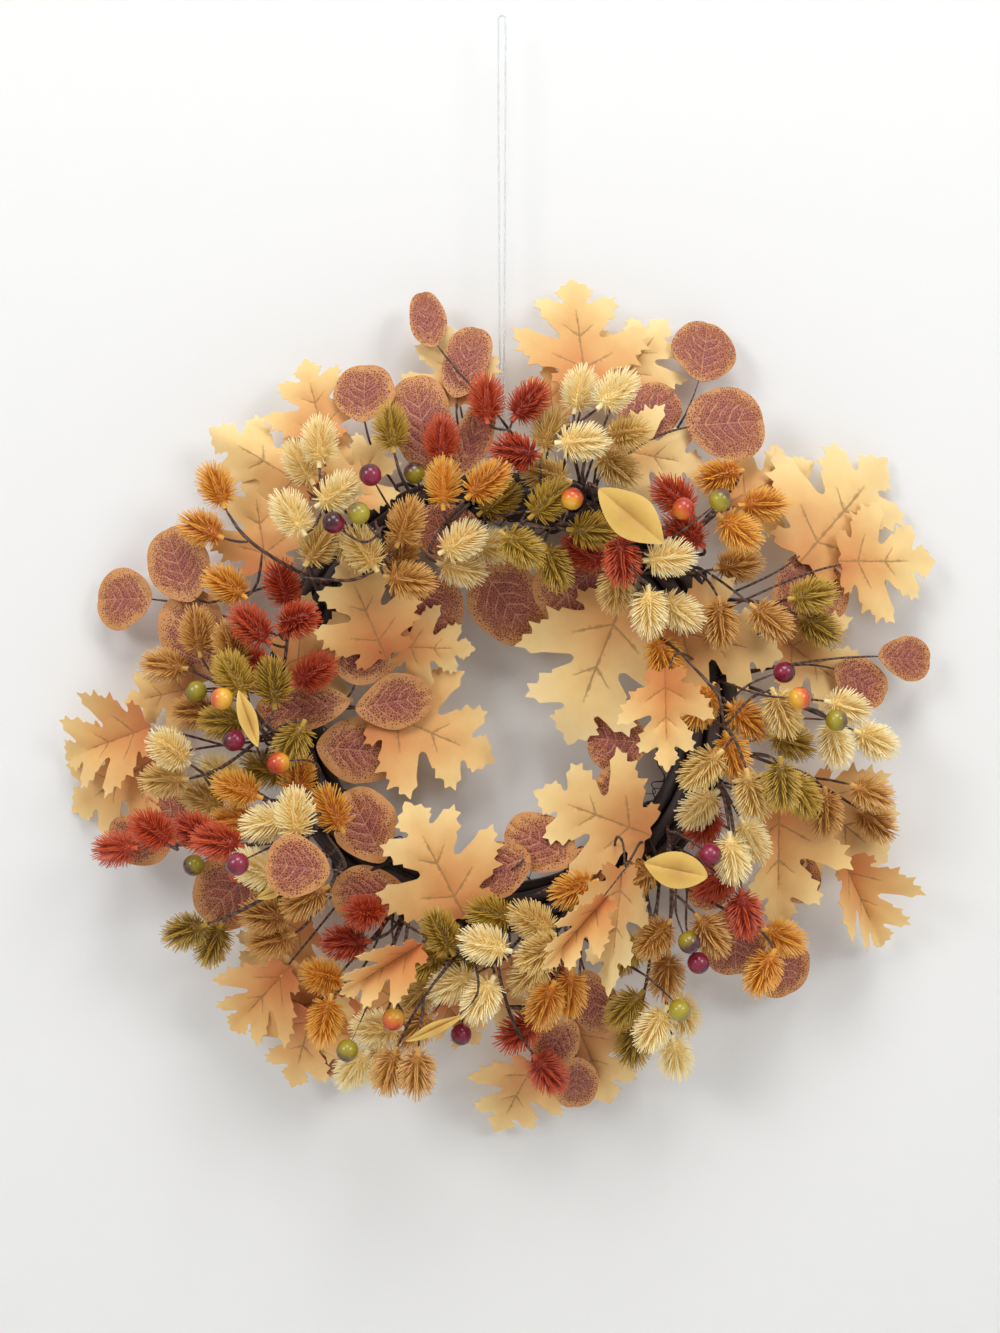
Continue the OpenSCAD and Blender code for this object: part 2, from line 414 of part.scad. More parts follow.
// Clear line: a noose round the top of the bundle, a knot, two strands, a loop on the hook
noose_r = bundle_r + line_d / 2 + 0.8;
knot_z = ring_r - drop + noose_r;
module hanging_line() color("#dfe6e8") {
    g = strand_gap / 2;
    tube(concat(
        [for (a = [-2 : -16.6 : -168])
            [-line_d * 0.2, noose_r * sin(a), knot_z - noose_r + noose_r * cos(a)]],
        [for (a = [-192 : -16.6 : -358])
            [line_d * 0.2, noose_r * sin(a), knot_z - noose_r + noose_r * cos(a)]]),
        [for (a = [1 : 22]) line_d / 2], 8);
    translate([0, 0, knot_z]) rotate_extrude($fn = 24) translate([0, -2.4])
        polygon([[0, 0], [1.2, 0], [2.2, 1.2], [2.3, 3.2], [1.4, 4.8], [0, 4.8]]);
    tube(concat(
        [[-0.8, 0, knot_z + 1], [-1.2, 0, knot_z + 12], [-g, 0, -60], [-g, 0, -g - line_d / 2]],
        [for (a = [150 : -30 : 30]) [g * cos(a), 0, g * sin(a) - g - line_d / 2]],
        [[g, 0, -g - line_d / 2], [g, 0, -60], [1.2, 0, knot_z + 12], [0.8, 0, knot_z + 1]]),
        [for (a = [1 : 13]) line_d / 2], 8);
}

function used(c, q) = len([for (s = sprays) if (s[0] == c) for (b = s[3]) if (floor(b[0] / 90) == q) 1]) > 0;
bud_groups = [for (c = [0 : 5]) for (q = [0 : 3]) if (used(c, q)) [c, q]];
function bud_name(g) = str(colours[g[0]], "_buds_", quarters[g[1]]);
oak_hours = [for (h = [0 : 11]) if (len([for (o = oak) if (floor(o[0] / 30) == h) 1]) > 0) h];
function oak_name(h) = str("oak_leaves_", h + 1);
eucalyptus_groups = [for (h = [0 : 9]) if (len([for (e = eucalyptus) if (floor(e[0] / 36) == h) 1]) > 0) h];
function eucalyptus_name(h) = str("eucalyptus_", h + 1);
// Which node to draw
hanging_line();
outer_vine_coil();
inner_vine_coil();
binding_tendril();
oak_stems();
eucalyptus_stems();
bud_stems();
side_stems();
berry_wires();
small_leaves();
for (h = oak_hours) oak_leaves(h);
for (h = eucalyptus_groups) eucalyptus_leaves(h);
for (g = bud_groups) buds(g[0], g[1]);
for (c = [0 : 2]) berries(c);
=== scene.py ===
# %% [markdown]
# # Harvest door wreath
# An artificial autumn wreath: a ring of dark wound vine, leaves of printed fabric,
# bristly plastic buds and glossy berries on wired twigs, hung by a loop of clear line.
# The solids of the part are loaded as a fixed frame, and each is dressed where it stands.

# %% Load the frame and keep its box
import math
import random

import bmesh
import bpy
import numpy as np
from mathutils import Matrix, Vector, geometry, kdtree, noise


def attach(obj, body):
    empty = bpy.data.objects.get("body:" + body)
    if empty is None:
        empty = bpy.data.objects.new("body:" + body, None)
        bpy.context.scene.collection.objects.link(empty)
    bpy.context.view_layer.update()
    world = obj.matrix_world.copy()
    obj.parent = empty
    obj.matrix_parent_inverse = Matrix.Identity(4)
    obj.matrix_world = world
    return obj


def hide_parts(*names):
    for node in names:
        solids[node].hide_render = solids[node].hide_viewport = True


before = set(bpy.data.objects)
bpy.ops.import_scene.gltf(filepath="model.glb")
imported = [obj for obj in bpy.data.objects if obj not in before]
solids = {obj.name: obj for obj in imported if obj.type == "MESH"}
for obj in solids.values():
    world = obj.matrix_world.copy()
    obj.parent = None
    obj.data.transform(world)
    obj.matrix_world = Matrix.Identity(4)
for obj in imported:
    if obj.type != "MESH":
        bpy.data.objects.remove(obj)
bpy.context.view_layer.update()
scene = bpy.context.scene
scene.view_settings.view_transform = "Standard"
MM = 0.001

# %% [markdown]
# ## Small helpers
# Colours are written as the hex values one reads off a colour card, so one function turns
# them to the linear values that shaders take. One function fills a node's inputs and one
# adds a node. The others put an object in the scene, make one from points and faces, say
# what it rides on and replaces, give its points values, close seams and start a material.


# %% Helpers
def linear(hex_colour):
    """sRGB hex to linear RGBA."""
    parts = [int(hex_colour[i:i + 2], 16) / 255 for i in (1, 3, 5)]
    return [c / 12.92 if c <= 0.04045 else ((c + 0.055) / 1.055) ** 2.4 for c in parts] + [1.0]


def feed(node, inputs):
    """Fill inputs: a node gives its first output, a socket is linked, other values are set."""
    for key, value in inputs.items():
        if isinstance(value, bpy.types.Node):
            value = next(socket for socket in value.outputs if socket.enabled)
        if isinstance(value, bpy.types.NodeSocket):
            node.id_data.links.new(value, node.inputs[key])
        else:
            node.inputs[key].default_value = value


def add(tree, kind, inputs=None, stops=None, **settings):
    """Add one node with its settings, its inputs and the stops of its colour ramp."""
    node = tree.nodes.new(kind)
    for key, value in settings.items():
        setattr(node, key, value)
    feed(node, inputs or {})
    if stops:
        ramp = node.color_ramp.elements
        while len(ramp) < len(stops):
            ramp.new(1.0)
        for stop, (place, colour) in zip(ramp, stops):
            stop.position = place
            stop.color = linear(colour)
    return node


def show(name, data):
    """Put a mesh, curve, lamp or camera in the scene as an object at the origin."""
    thing = bpy.data.objects.new(name, data)
    scene.collection.objects.link(thing)
    return thing


def piece(name, points, faces, material, replaced=(), body="wreath"):
    """A mesh object at the origin that rides a body and stands for its solids."""
    mesh = bpy.data.meshes.new(name)
    mesh.from_pydata([tuple(p) for p in points], [], [tuple(f) for f in faces])
    mesh.update()
    mesh.polygons.foreach_set("use_smooth", [True] * len(mesh.polygons))
    mesh.materials.append(material)
    thing = show(name, mesh)
    declare(thing, replaced, body)
    return thing


def declare(thing, replaced=(), body="wreath"):
    """Say what a finished piece rides on and what it replaces."""
    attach(thing, body)
    if replaced:
        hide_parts(*replaced)


def keep_values(mesh, values):
    """Give each point of a mesh its own named numbers, for materials and node trees."""
    for key, numbers in values.items():
        mesh.attributes.new(key, "FLOAT", "POINT").data.foreach_set("value", numbers)


def seal(mesh):
    """Merge a turned mesh's seams and poles and point its faces outward."""
    bm = bmesh.new()
    bm.from_mesh(mesh)
    bmesh.ops.remove_doubles(bm, verts=bm.verts, dist=1e-6)
    bmesh.ops.recalc_face_normals(bm, faces=bm.faces)
    bm.to_mesh(mesh)
    bm.free()


def finish(name, *values):
    """A new material, its tree and shader, the object's coordinates and its points' values."""
    made = bpy.data.materials.new(name)
    made.use_nodes = True
    tree = made.node_tree
    read = [add(tree, "ShaderNodeTexCoord").outputs["Object"]]
    for value in values:
        read.append(add(tree, "ShaderNodeAttribute", attribute_name=value).outputs["Fac"])
    return made, tree, tree.nodes["Principled BSDF"], *read


print("helpers ready")

# %% [markdown]
# ## The camera
# The photograph looks straight at the wreath from the height of its middle, from about
# the distance at which one stands in front of a door. One pixel is 0.7 mm on the ring.

# %% Camera
DROP = 480
RING_CENTRE = Vector((0, 0, -DROP * MM))
view = bpy.data.cameras.new("photo_view")
view.lens = 46.3
view.sensor_width = 36
camera = show("photo_view", view)
camera.location = (-1.4 * MM, -1.2, -456.2 * MM)
camera.rotation_euler = (math.radians(90), 0, 0)
scene.camera = camera
print("camera", tuple(round(c, 4) for c in camera.location))

# %% [markdown]
# ## The hanging line
# A length of clear nylon line: a noose round the top of the vine, a knot, and two strands
# that go up side by side and close in a small loop. The strands hang taut under the
# wreath's weight, so they are one open curve with a round bevel. The noose is pressed on
# the vine and the knot is a small turned form, so both are meshes.

# %% Nylon
# Drawn nylon: clear, faintly milky, glossy along its length.
nylon, tree, shader, coords = finish("clear_nylon")
haze = add(tree, "ShaderNodeTexNoise", {"Vector": coords, "Scale": 1 / (4 * MM)})
milky = add(tree, "ShaderNodeValToRGB", {"Fac": haze}, stops=[(0.0, "#C9D2D4"), (1.0, "#F2F6F6")])
feed(shader, {"Base Color": milky, "Roughness": 0.12, "IOR": 1.53, "Transmission Weight": 0.75})
print("nylon ready")

# %% Strands
LINE_D = 1.2 * MM
# The rest in mm: half the gap between the strands at the top and just above the knot.
GAP = 2.5
NECK = 1.2
NOOSE_R = 20.4
KNOT_Z = -314.6
NECK_Z = KNOT_Z + 12
SPREAD_Z = -60
LOOP_Z = -GAP - 0.6
STEPS = 8
strand = [(-0.8, 0, KNOT_Z + 1), (-0.95, 0, KNOT_Z + 5), (-NECK, 0, NECK_Z)]
for k in range(1, STEPS + 1):
    strand.append((-NECK - (GAP - NECK) * k / STEPS, 0, NECK_Z + (SPREAD_Z - NECK_Z) * k / STEPS))
strand += [(-GAP, 0, z) for z in (-45, -30, -15)]
over = [math.radians(a) for a in range(180, 89, -10)]
strand += [(GAP * math.cos(a), 0, GAP * math.sin(a) + LOOP_Z) for a in over]
route = strand + [(-x, y, z) for x, y, z in reversed(strand[:-1])]
curve = bpy.data.curves.new("line_strands", "CURVE")
curve.dimensions = "3D"
curve.bevel_depth = LINE_D / 2
curve.bevel_resolution = 3
curve.use_fill_caps = True
spline = curve.splines.new("POLY")
spline.points.add(len(route) - 1)
for point, place in zip(spline.points, route):
    point.co = (*(c * MM for c in place), 1)
curve.materials.append(nylon)
line = show("line_strands", curve)

# %% [markdown]
# ## Tubes and turned forms
# Vine, tendrils and the noose are round things that follow a path. A ring of points is
# carried along the path without twisting, and each face keeps how far along and how far
# round it lies, so that bark can run along the vine. The knot, the buds and the berries
# are turned: a profile is spun round an axis. Both kinds are rings joined by quads.


# %% Tube and turning
def quads(rings, sides, start=0):
    """Faces between neighbouring rings of points."""
    faces = []
    for i in range(rings - 1):
        for k in range(sides):
            n = (k + 1) % sides
            corners = (i * sides + k, i * sides + n, (i + 1) * sides + n, (i + 1) * sides + k)
            faces.append(tuple(start + c for c in corners))
    return faces


def turned(profile, centre, axis, sides):
    """Points of a profile of (radius, height) in mm, spun round an axis."""
    across = axis.orthogonal().normalized()
    other = axis.cross(across)
    points = []
    for r, z in profile:
        for k in range(sides):
            a = math.tau * k / sides
            points.append(centre + axis * z * MM + (across * math.cos(a) + other * math.sin(a)) * r * MM)
    return points


def tube(path, radius, sides):
    """Points, faces and (along, round) coordinates of a capped tube on a path, in metres."""
    path = [Vector(p) for p in path]
    last = len(path) - 1
    points = []
    across = None
    along = [0.0]
    for a, b in zip(path, path[1:]):
        along.append(along[-1] + (b - a).length)
    for i, centre in enumerate(path):
        tangent = (path[min(i + 1, last)] - path[max(i - 1, 0)]).normalized()
        if across is None:
            across = tangent.orthogonal().normalized()
        across = (across - tangent * across.dot(tangent)).normalized()
        other = tangent.cross(across)
        for k in range(sides):
            turn = math.tau * k / sides
            reach = radius(i, turn, centre)
            points.append(centre + (across * math.cos(turn) + other * math.sin(turn)) * reach)
    uv = []
    for here, there in zip(along, along[1:]):
        for k in range(sides):
            near, far = k / sides, (k + 1) / sides
            uv.append([(here, near), (here, far), (there, far), (there, near)])
    start_cap = tuple(range(sides - 1, -1, -1))
    end_cap = tuple(last * sides + k for k in range(sides))
    uv += [[(0, 0)] * sides, [(along[-1], 0)] * sides]
    return points, quads(last + 1, sides) + [start_cap, end_cap], uv


def lay_uv(thing, uv):
    """Write per-face coordinates to a piece's own UV map."""
    layer = thing.data.uv_layers.new(name="surface")
    layer.data.foreach_set("uv", [c for face in uv for corner in face for c in corner])


print("tube and turning ready")

# %% Noose and knot
LINE_SIDES = 10
# The two ends of the noose lie side by side, this far from its middle in mm.
ASIDE = 0.24
noose_path = []
for degrees in range(2, 359, 4):
    a = math.radians(degrees)
    aside = ASIDE if degrees > 180 else -ASIDE
    place = Vector((aside, -NOOSE_R * math.sin(a), KNOT_Z - NOOSE_R + NOOSE_R * math.cos(a)))
    noose_path.append(place * MM)
points, faces, uv = tube(noose_path, lambda i, turn, c: LINE_D / 2, LINE_SIDES)
piece("line_noose", points, faces, nylon, ["hanging_line"], "hanger")
# Radius and height of the knot in mm, waisted where its turns cross; three ridges wind round.
KNOT = [(0.0, -2.4), (1.2, -2.4), (1.9, -1.7), (2.25, -0.6), (1.95, 0.0), (2.3, 0.7), (2.0, 1.6),
        (1.4, 2.4), (0.0, 2.4)]
KNOT_SIDES = 20
points = []
for r, z in KNOT:
    for k in range(KNOT_SIDES):
        a = math.tau * k / KNOT_SIDES
        ridge = r * (1 + 0.06 * math.sin(3 * a + z * 1.6))
        points.append((ridge * math.cos(a) * MM, ridge * math.sin(a) * MM, (KNOT_Z + z) * MM))
faces = quads(len(KNOT), KNOT_SIDES)
knot = piece("line_knot", points, faces, nylon, ["hanging_line"], "hanger")
seal(knot.data)
declare(line, ["hanging_line"], "hanger")
print("noose and knot made")

# %% [markdown]
# ## The vine ring
# The base is grapevine soaked and wound into a hoop: a few long canes go round many times,
# each spiralling through the bundle, and a thin tendril binds them. The canes follow the
# same winding rule as the solids, with knuckles, ridged bark and a rough skin added.

# %% Bark
bark, tree, shader, coords = finish("grapevine_bark")
# Stained grapevine: near-black brown, stringy ridges along the cane, dull with a waxy edge.
surface = add(tree, "ShaderNodeUVMap", uv_map="surface")
stringy = add(tree, "ShaderNodeMapping", {"Vector": surface, "Scale": (1 / (30 * MM), 14, 1)})
fibre = add(tree, "ShaderNodeTexNoise",
            {"Vector": stringy, "Scale": 1.0, "Detail": 5.0, "Roughness": 0.65})
blotch = add(tree, "ShaderNodeTexNoise", {"Vector": coords, "Scale": 1 / (25 * MM)})
streak = add(tree, "ShaderNodeMath", {0: fibre, 1: blotch}, operation="MULTIPLY")
colour = add(tree, "ShaderNodeValToRGB", {"Fac": streak},
             stops=[(0.0, "#1B1517"), (0.2, "#2B2122"), (0.36, "#43312A"), (0.55, "#6A4E3C")])
rough = add(tree, "ShaderNodeMapRange", {"Value": fibre, "To Min": 0.5, "To Max": 0.85})
bump = add(tree, "ShaderNodeBump", {"Height": fibre, "Strength": 0.7, "Distance": 0.6 * MM})
feed(shader, {"Base Color": colour, "Roughness": rough, "Normal": bump, "IOR": 1.5})
print("bark ready")

# %% Canes and tendril
RING_R = 145
# The last lap stops short of the first by this share of the winding.
WOUND = 0.985
# What knuckles, ridges and grooves add to a cane, as shares of its radius.
KNUCKLE, RIDGE, GROOVE = 0.16, 0.09, 0.05


def winding(laps, turns, radius, start, per_lap):
    """The solids' winding rule: laps round the ring, turns through the bundle."""
    count = laps * per_lap
    path = []
    for i in range(count + 1):
        t = i / count * WOUND
        a = math.radians(start + 360 * laps * t)
        b = math.radians(360 * turns * t)
        r = RING_R + radius * math.cos(b)
        path.append(Vector((r * math.sin(a), radius * math.sin(b), r * math.cos(a) - DROP)) * MM)
    return path


def cane_radius(diameter, count):
    """Bark ridges, a knuckle every fifteen points or so, and pinched ends."""
    def radius(i, turn, centre):
        knuckle = max(0.0, math.sin(i * 0.41)) ** 12 * KNUCKLE
        ridge = RIDGE * noise.noise(centre * 160 + Vector((math.cos(turn), math.sin(turn), 0)) * 1.9)
        groove = GROOVE * math.sin(5 * turn + i * 0.11)
        ends = min(1.0, 0.4 + i * 0.1, 0.4 + (count - i) * 0.1)
        return diameter / 2 * MM * (1.0 + knuckle + ridge + groove) * ends
    return radius


# Piece, solid, (laps, turns, radius, start, points a lap), thickness in mm and sides.
canes = [("outer_canes", "outer_vine_coil", (8, 5, 14.6, 8, 110), 8.0, 10),
         ("inner_canes", "inner_vine_coil", (3, 2, 5.5, 190, 90), 8.4, 8),
         ("binding_vine", "binding_tendril", (1, 13, 22.1, 2.7, 520), 3.0, 7)]
for name, node, rule, diameter, sides in canes:
    path = winding(*rule)
    points, faces, uv = tube(path, cane_radius(diameter, len(path) - 1), sides)
    lay_uv(piece(name, points, faces, bark, [node]), uv)
    print(name, len(faces), "faces")

# %% [markdown]
# ## Curling tendrils
# Grapevine keeps its tendrils: wiry curls a millimetre thick that stick out of the hoop.
# Each starts inside the bundle, so none floats, and winds up as it goes.

# %% Tendrils
CURLS = 64
CURL_STEPS = 36
CURL_SIDES = 5
# How far from the bundle's middle a tendril starts and how far it runs along, in mm.
CURL_FOOT = 12
CURL_RUN = 24


def thinning(i, turn, centre):
    """A tendril is 1.5 mm thick at its foot and 0.5 mm at its tip."""
    return (0.75 - 0.5 * i / CURL_STEPS) * MM


rng = random.Random(7)
points, faces, uv = [], [], []
for k in range(CURLS):
    around = math.radians(k * 360 / CURLS + rng.uniform(-3, 3))
    lean = math.radians(rng.choice((165, 170, 175, 180, 185, 190, 195)))
    out = Vector((math.sin(around), 0, math.cos(around)))
    along = Vector((math.cos(around), 0, -math.sin(around))) * rng.choice((-1, 1))
    away = out * math.cos(lean) + Vector((0, 1, 0)) * math.sin(lean)
    foot = RING_CENTRE + out * RING_R * MM + away * CURL_FOOT * MM
    curl = rng.uniform(3, 6.5)
    turns = rng.uniform(1.2, 2.4)
    reach = rng.uniform(8, 24)
    path = []
    for i in range(CURL_STEPS + 1):
        t = i / CURL_STEPS
        a = t * turns * math.tau
        wide = curl * MM * t * (1.15 - 0.4 * t)
        step = foot + away * (reach * t ** 0.8 * MM) + along * (CURL_RUN * t * MM)
        path.append(step + away * wide * math.sin(a) + along.cross(away) * wide * math.cos(a))
    more, patches, coordinates = tube(path, thinning, CURL_SIDES)
    shift = len(points)
    points += more
    faces += [tuple(v + shift for v in f) for f in patches]
    uv += coordinates
curls = piece("vine_curls", points, faces, bark)
lay_uv(curls, uv)
print(CURLS, "tendrils,", len(faces), "faces")

# %% [markdown]
# ## Wired stems
# Each leaf, bud and berry is on a wire wrapped in brown paper tape or moulded in plastic.
# The solids already run from the vine to each piece, as plain facets, so a merged copy is
# rounded by a subdivision surface and given a taped, knobbly finish.

# %% Stems
tape, tree, shader, coords = finish("stem_tape")
# Floral tape on wire: matt dark brown, wound in fine overlaps, rubbed paler on the ridges.
wrap = add(tree, "ShaderNodeTexWave",
           {"Vector": coords, "Scale": 0.31 / (3 * MM), "Distortion": 6.0, "Detail": 3.0},
           bands_direction="DIAGONAL")
grain = add(tree, "ShaderNodeTexNoise", {"Vector": coords, "Scale": 1 / (6 * MM), "Detail": 4.0})
mixed = add(tree, "ShaderNodeMath", {0: wrap.outputs["Fac"], 1: grain}, operation="MULTIPLY")
colour = add(tree, "ShaderNodeValToRGB", {"Fac": mixed},
             stops=[(0.0, "#33231D"), (0.3, "#503930"), (0.6, "#7A5A48")])
bump = add(tree, "ShaderNodeBump", {"Height": mixed, "Strength": 0.5, "Distance": 0.3 * MM})
feed(shader, {"Base Color": colour, "Normal": bump, "Roughness": 0.68, "IOR": 1.48})
# Rounding draws a stem in, and the wound tape brings it back to its thickness.
TAPE = 0.22 * MM


def merged(node):
    """A merged copy of a solid's loose triangles."""
    bm = bmesh.new()
    bm.from_mesh(solids[node].data)
    bmesh.ops.remove_doubles(bm, verts=bm.verts, dist=2e-7)
    return bm


for node in ("oak_stems", "eucalyptus_stems", "bud_stems", "side_stems", "berry_wires"):
    bm = merged(node)
    for vert in bm.verts:
        vert.co += vert.normal * TAPE
    mesh = bpy.data.meshes.new(node + "_taped")
    bm.to_mesh(mesh)
    bm.free()
    mesh.materials.append(tape)
    mesh.polygons.foreach_set("use_smooth", [True] * len(mesh.polygons))
    stems = show(node + "_taped", mesh)
    round_off = stems.modifiers.new("round", "SUBSURF")
    round_off.levels = round_off.render_levels = 1
    declare(stems, [node])
    print(node, len(mesh.polygons), "faces before rounding")

# %% [markdown]
# ## Finding each leaf, bud and berry
# A solid of the part holds several pieces of one kind. Each is an island of its merged
# mesh. The end that meets a stem is its base, and the middle of its surface lies on its
# centre line, so base and middle give its direction, and the flattest way gives its face.


# %% Islands
# Points of a leaf this close to its stem make its base.
BASE_REACH = 4.2 * MM


def islands(node):
    """Points and area-weighted middle of each separate piece in a solid."""
    bm = merged(node)
    seen = set()
    found = []
    for start in bm.verts:
        if start.index in seen:
            continue
        seen.add(start.index)
        group, queue = [start], [start]
        while queue:
            for edge in queue.pop().link_edges:
                for vert in edge.verts:
                    if vert.index not in seen:
                        seen.add(vert.index)
                        group.append(vert)
                        queue.append(vert)
        parts = dict.fromkeys(f for v in group for f in v.link_faces)
        area = sum(f.calc_area() for f in parts)
        middle = sum((f.calc_center_median() * f.calc_area() for f in parts), Vector()) / area
        found.append((np.array([v.co[:] for v in group]), np.array(middle)))
    bm.free()
    return found


def stem_ends(node):
    """A search tree of the points of a stem solid."""
    points = {tuple(v.co) for v in solids[node].data.vertices}
    tree = kdtree.KDTree(len(points))
    for i, p in enumerate(sorted(points)):
        tree.insert(p, i)
    tree.balance()
    return tree


def leaf_frame(points, middle, ends):
    """Base, axis, side, face direction, length, half width and the fitted curve of a leaf."""
    near = min(points, key=lambda p: ends.find(p)[2])
    base = points[np.linalg.norm(points - near, axis=1) < BASE_REACH].mean(0)
    _, _, ways = np.linalg.svd(points - points.mean(0))
    normal = ways[2] * (-1 if ways[2][1] > 0 else 1)
    axis = middle - base
    axis -= normal * axis.dot(normal)
    axis /= np.linalg.norm(axis)
    across = np.cross(normal, axis)
    u, v, h = ((points - base) @ way for way in (axis, across, normal))
    terms = np.stack([np.ones_like(u), u, v, u * u, u * v, v * v], 1)
    fit = np.linalg.lstsq(terms, h, rcond=None)[0]
    return base, axis, across, normal, u.max(), abs(v).max(), fit


print("leaf nodes", sum("oak_leaves" in n or "eucalyptus_" in n for n in solids))

# %% [markdown]
# ## A leaf pattern
# A fabric leaf is die-cut, printed and pressed in a heated mould that embosses its veins.
# One flat pattern is cut per kind: its rim, points along each vein and a light fill of
# points are joined by a triangulation. Each point keeps how near it is to a vein and how
# near to the rim, for the emboss and for the print.


# %% Pattern maker
# Half the width that the fill covers, and the step from row to row of a triangular fill.
FILL_HALF = 0.62
ROW_STEP = 0.87
# Room of the fill, in spacings to the rim and in vein widths to other points.
RIM_ROOM = 0.3
POINT_ROOM = 0.7
# Vein widths over which a vein fades out at its end, and which a crease takes up.
FADE = 6
FOLD = 4


def mirrored(half, foot=()):
    """Corners of a whole leaf from those of one half, with its tip at (1, 0)."""
    return [*foot, *half, (1.0, 0.0), *((u, -v) for u, v in reversed(half))]


def smooth_rim(corners, steps, ease):
    """A closed cardinal spline through the corners; a small ease keeps teeth sharp."""
    rim = []
    for i in range(len(corners)):
        a, b, c, d = (Vector(corners[(i + k) % len(corners)]) for k in (-1, 0, 1, 2))
        leave, arrive = (c - a) * ease, (d - b) * ease
        for s in range(steps):
            t = s / steps
            rim.append(b * (2 * t ** 3 - 3 * t * t + 1) + leave * (t ** 3 - 2 * t * t + t)
                       + c * (3 * t * t - 2 * t ** 3) + arrive * (t ** 3 - t * t))
    return rim


def pattern(rim, veins, vein_width, spacing, creases=()):
    """Flat points (along, across), triangles, and vein and rim values for each point."""
    vein_lines = [[Vector(p) for p in vein] for vein in veins]
    fold_lines = vein_lines + [[Vector(p) for p in crease] for crease in creases]
    rim_line = [rim + rim[:1]]
    inside, ridges = [], []
    for lines in vein_lines:
        ridge = []
        for a, b in zip(lines, lines[1:]):
            across = Vector((a.y - b.y, b.x - a.x)).normalized() * vein_width
            count = max(2, int((b - a).length / spacing))
            for k in range(count):
                spot = a.lerp(b, k / count)
                ridge.append(spot)
                inside += [spot + across, spot - across]
        ridges.append(ridge + lines[-1:])
    row = 0
    u = 0.02
    while u < 1:
        v = -FILL_HALF + (spacing if row % 2 else 0) / 2
        while v < FILL_HALF:
            inside.append(Vector((u, v)))
            v += spacing
        u += spacing * ROW_STEP
        row += 1

    def to_lines(p, lines):
        best = math.inf
        for line in lines:
            for a, b in zip(line, line[1:]):
                near, t = geometry.intersect_point_line(p, a, b)
                spot = a if t < 0 else b if t > 1 else Vector(near[:2])
                best = min(best, (p - Vector(spot[:2])).length)
        return best

    keep, joins = [], []
    for ridge in ridges:
        for k, p in enumerate(ridge):
            keep.append(p)
            if k:
                joins.append((len(rim) + len(keep) - 2, len(rim) + len(keep) - 1))
    for p in inside:
        clear = all((p - q).length > vein_width * POINT_ROOM for q in keep)
        if clear and to_lines(p, rim_line) > spacing * RIM_ROOM:
            keep.append(p)
    cut = geometry.delaunay_2d_cdt(rim + keep, joins, [list(range(len(rim)))], 1, 1e-6)
    used = sorted({i for face in cut[2] for i in face})
    order = {i: k for k, i in enumerate(used)}
    flat = [Vector(cut[0][i]) for i in used]
    from_vein = [to_lines(p, vein_lines) for p in flat]
    fade = [min((p - vein[-1]).length for vein in vein_lines) / (FADE * vein_width) for p in flat]
    veined = [max(0.0, 1 - d / vein_width) * min(1.0, f) for d, f in zip(from_vein, fade)]
    folded = [math.exp(-(to_lines(p, fold_lines) / (FOLD * vein_width)) ** 2) for p in flat]
    rimmed = [to_lines(p, rim_line) for p in flat]
    triangles = []
    for face in cut[2]:
        a, b, c = (order[i] for i in face)
        flipped = (flat[b] - flat[a]).cross(flat[c] - flat[a]) < 0
        triangles.append((a, c, b) if flipped else (a, b, c))
    return [tuple(p) for p in flat], triangles, veined, folded, rimmed


print("pattern maker ready")

# %% Leaf patterns
# Along and across one half of an oak leaf, as shares of its length.
oak_half = [(0, .02), (.03, .06), (.005, .14), (.0, .21), (.035, .225), (.03, .275), (.075, .255),
            (.10, .265), (.115, .21), (.145, .195), (.165, .25), (.17, .33), (.20, .345), (.19, .43),
            (.235, .405), (.27, .395), (.285, .44), (.315, .445), (.32, .52), (.36, .485), (.395, .475),
            (.415, .53), (.455, .52), (.51, .55), (.50, .48), (.52, .43), (.485, .36), (.46, .27),
            (.44, .195), (.455, .16), (.49, .165), (.53, .21), (.57, .255), (.595, .25), (.62, .32),
            (.655, .305), (.69, .305), (.715, .36), (.75, .325), (.80, .335), (.785, .28), (.805, .24),
            (.775, .185), (.75, .12), (.765, .095), (.79, .105), (.815, .14), (.835, .13), (.86, .16),
            (.885, .11), (.925, .10), (.935, .05), (.97, .035)]
oak_rim = smooth_rim(mirrored(oak_half), 3, 0.2)
oak_veins = [[(0.0, 0.0), (0.4, 0.0), (0.74, 0.0)]]
oak_creases = [[(0.74, 0.0), (0.97, 0.0)]]
for s in (1, -1):
    oak_veins += [[(0.18, 0.0), (0.32, 0.26 * s)], [(0.46, 0.0), (0.59, 0.15 * s)]]
    oak_creases += [[(0.32, 0.26 * s), (0.46, 0.48 * s)], [(0.59, 0.15 * s), (0.75, 0.30 * s)],
                    [(0.02, 0.0), (0.06, 0.24 * s)]]
oak_pattern = pattern(oak_rim, oak_veins, 0.013, 0.052, oak_creases)

round_half = []
for a in range(12, 180, 12):
    s = -math.cos(math.radians(a))
    round_half.append(((1 + s) / 2, 0.5 * math.sin(math.radians(a)) ** (1.15 if s < 0 else 0.8)))
round_rim = smooth_rim(mirrored(round_half, [(0.0, 0.0)]), 2, 0.5)
round_veins = [[(0.0, 0.0), (0.5, 0.0), (0.98, 0.0)]]
for s in (1, -1):
    for u in (0.10, 0.24, 0.38, 0.52, 0.66):
        round_veins.append([(u, 0.0), (u + 0.10, 0.17 * s), (u + 0.24, 0.33 * s * (1.25 - u))])
round_pattern = pattern(round_rim, round_veins, 0.013, 0.06)
print("oak", len(oak_pattern[1]), "round", len(round_pattern[1]), "triangles")

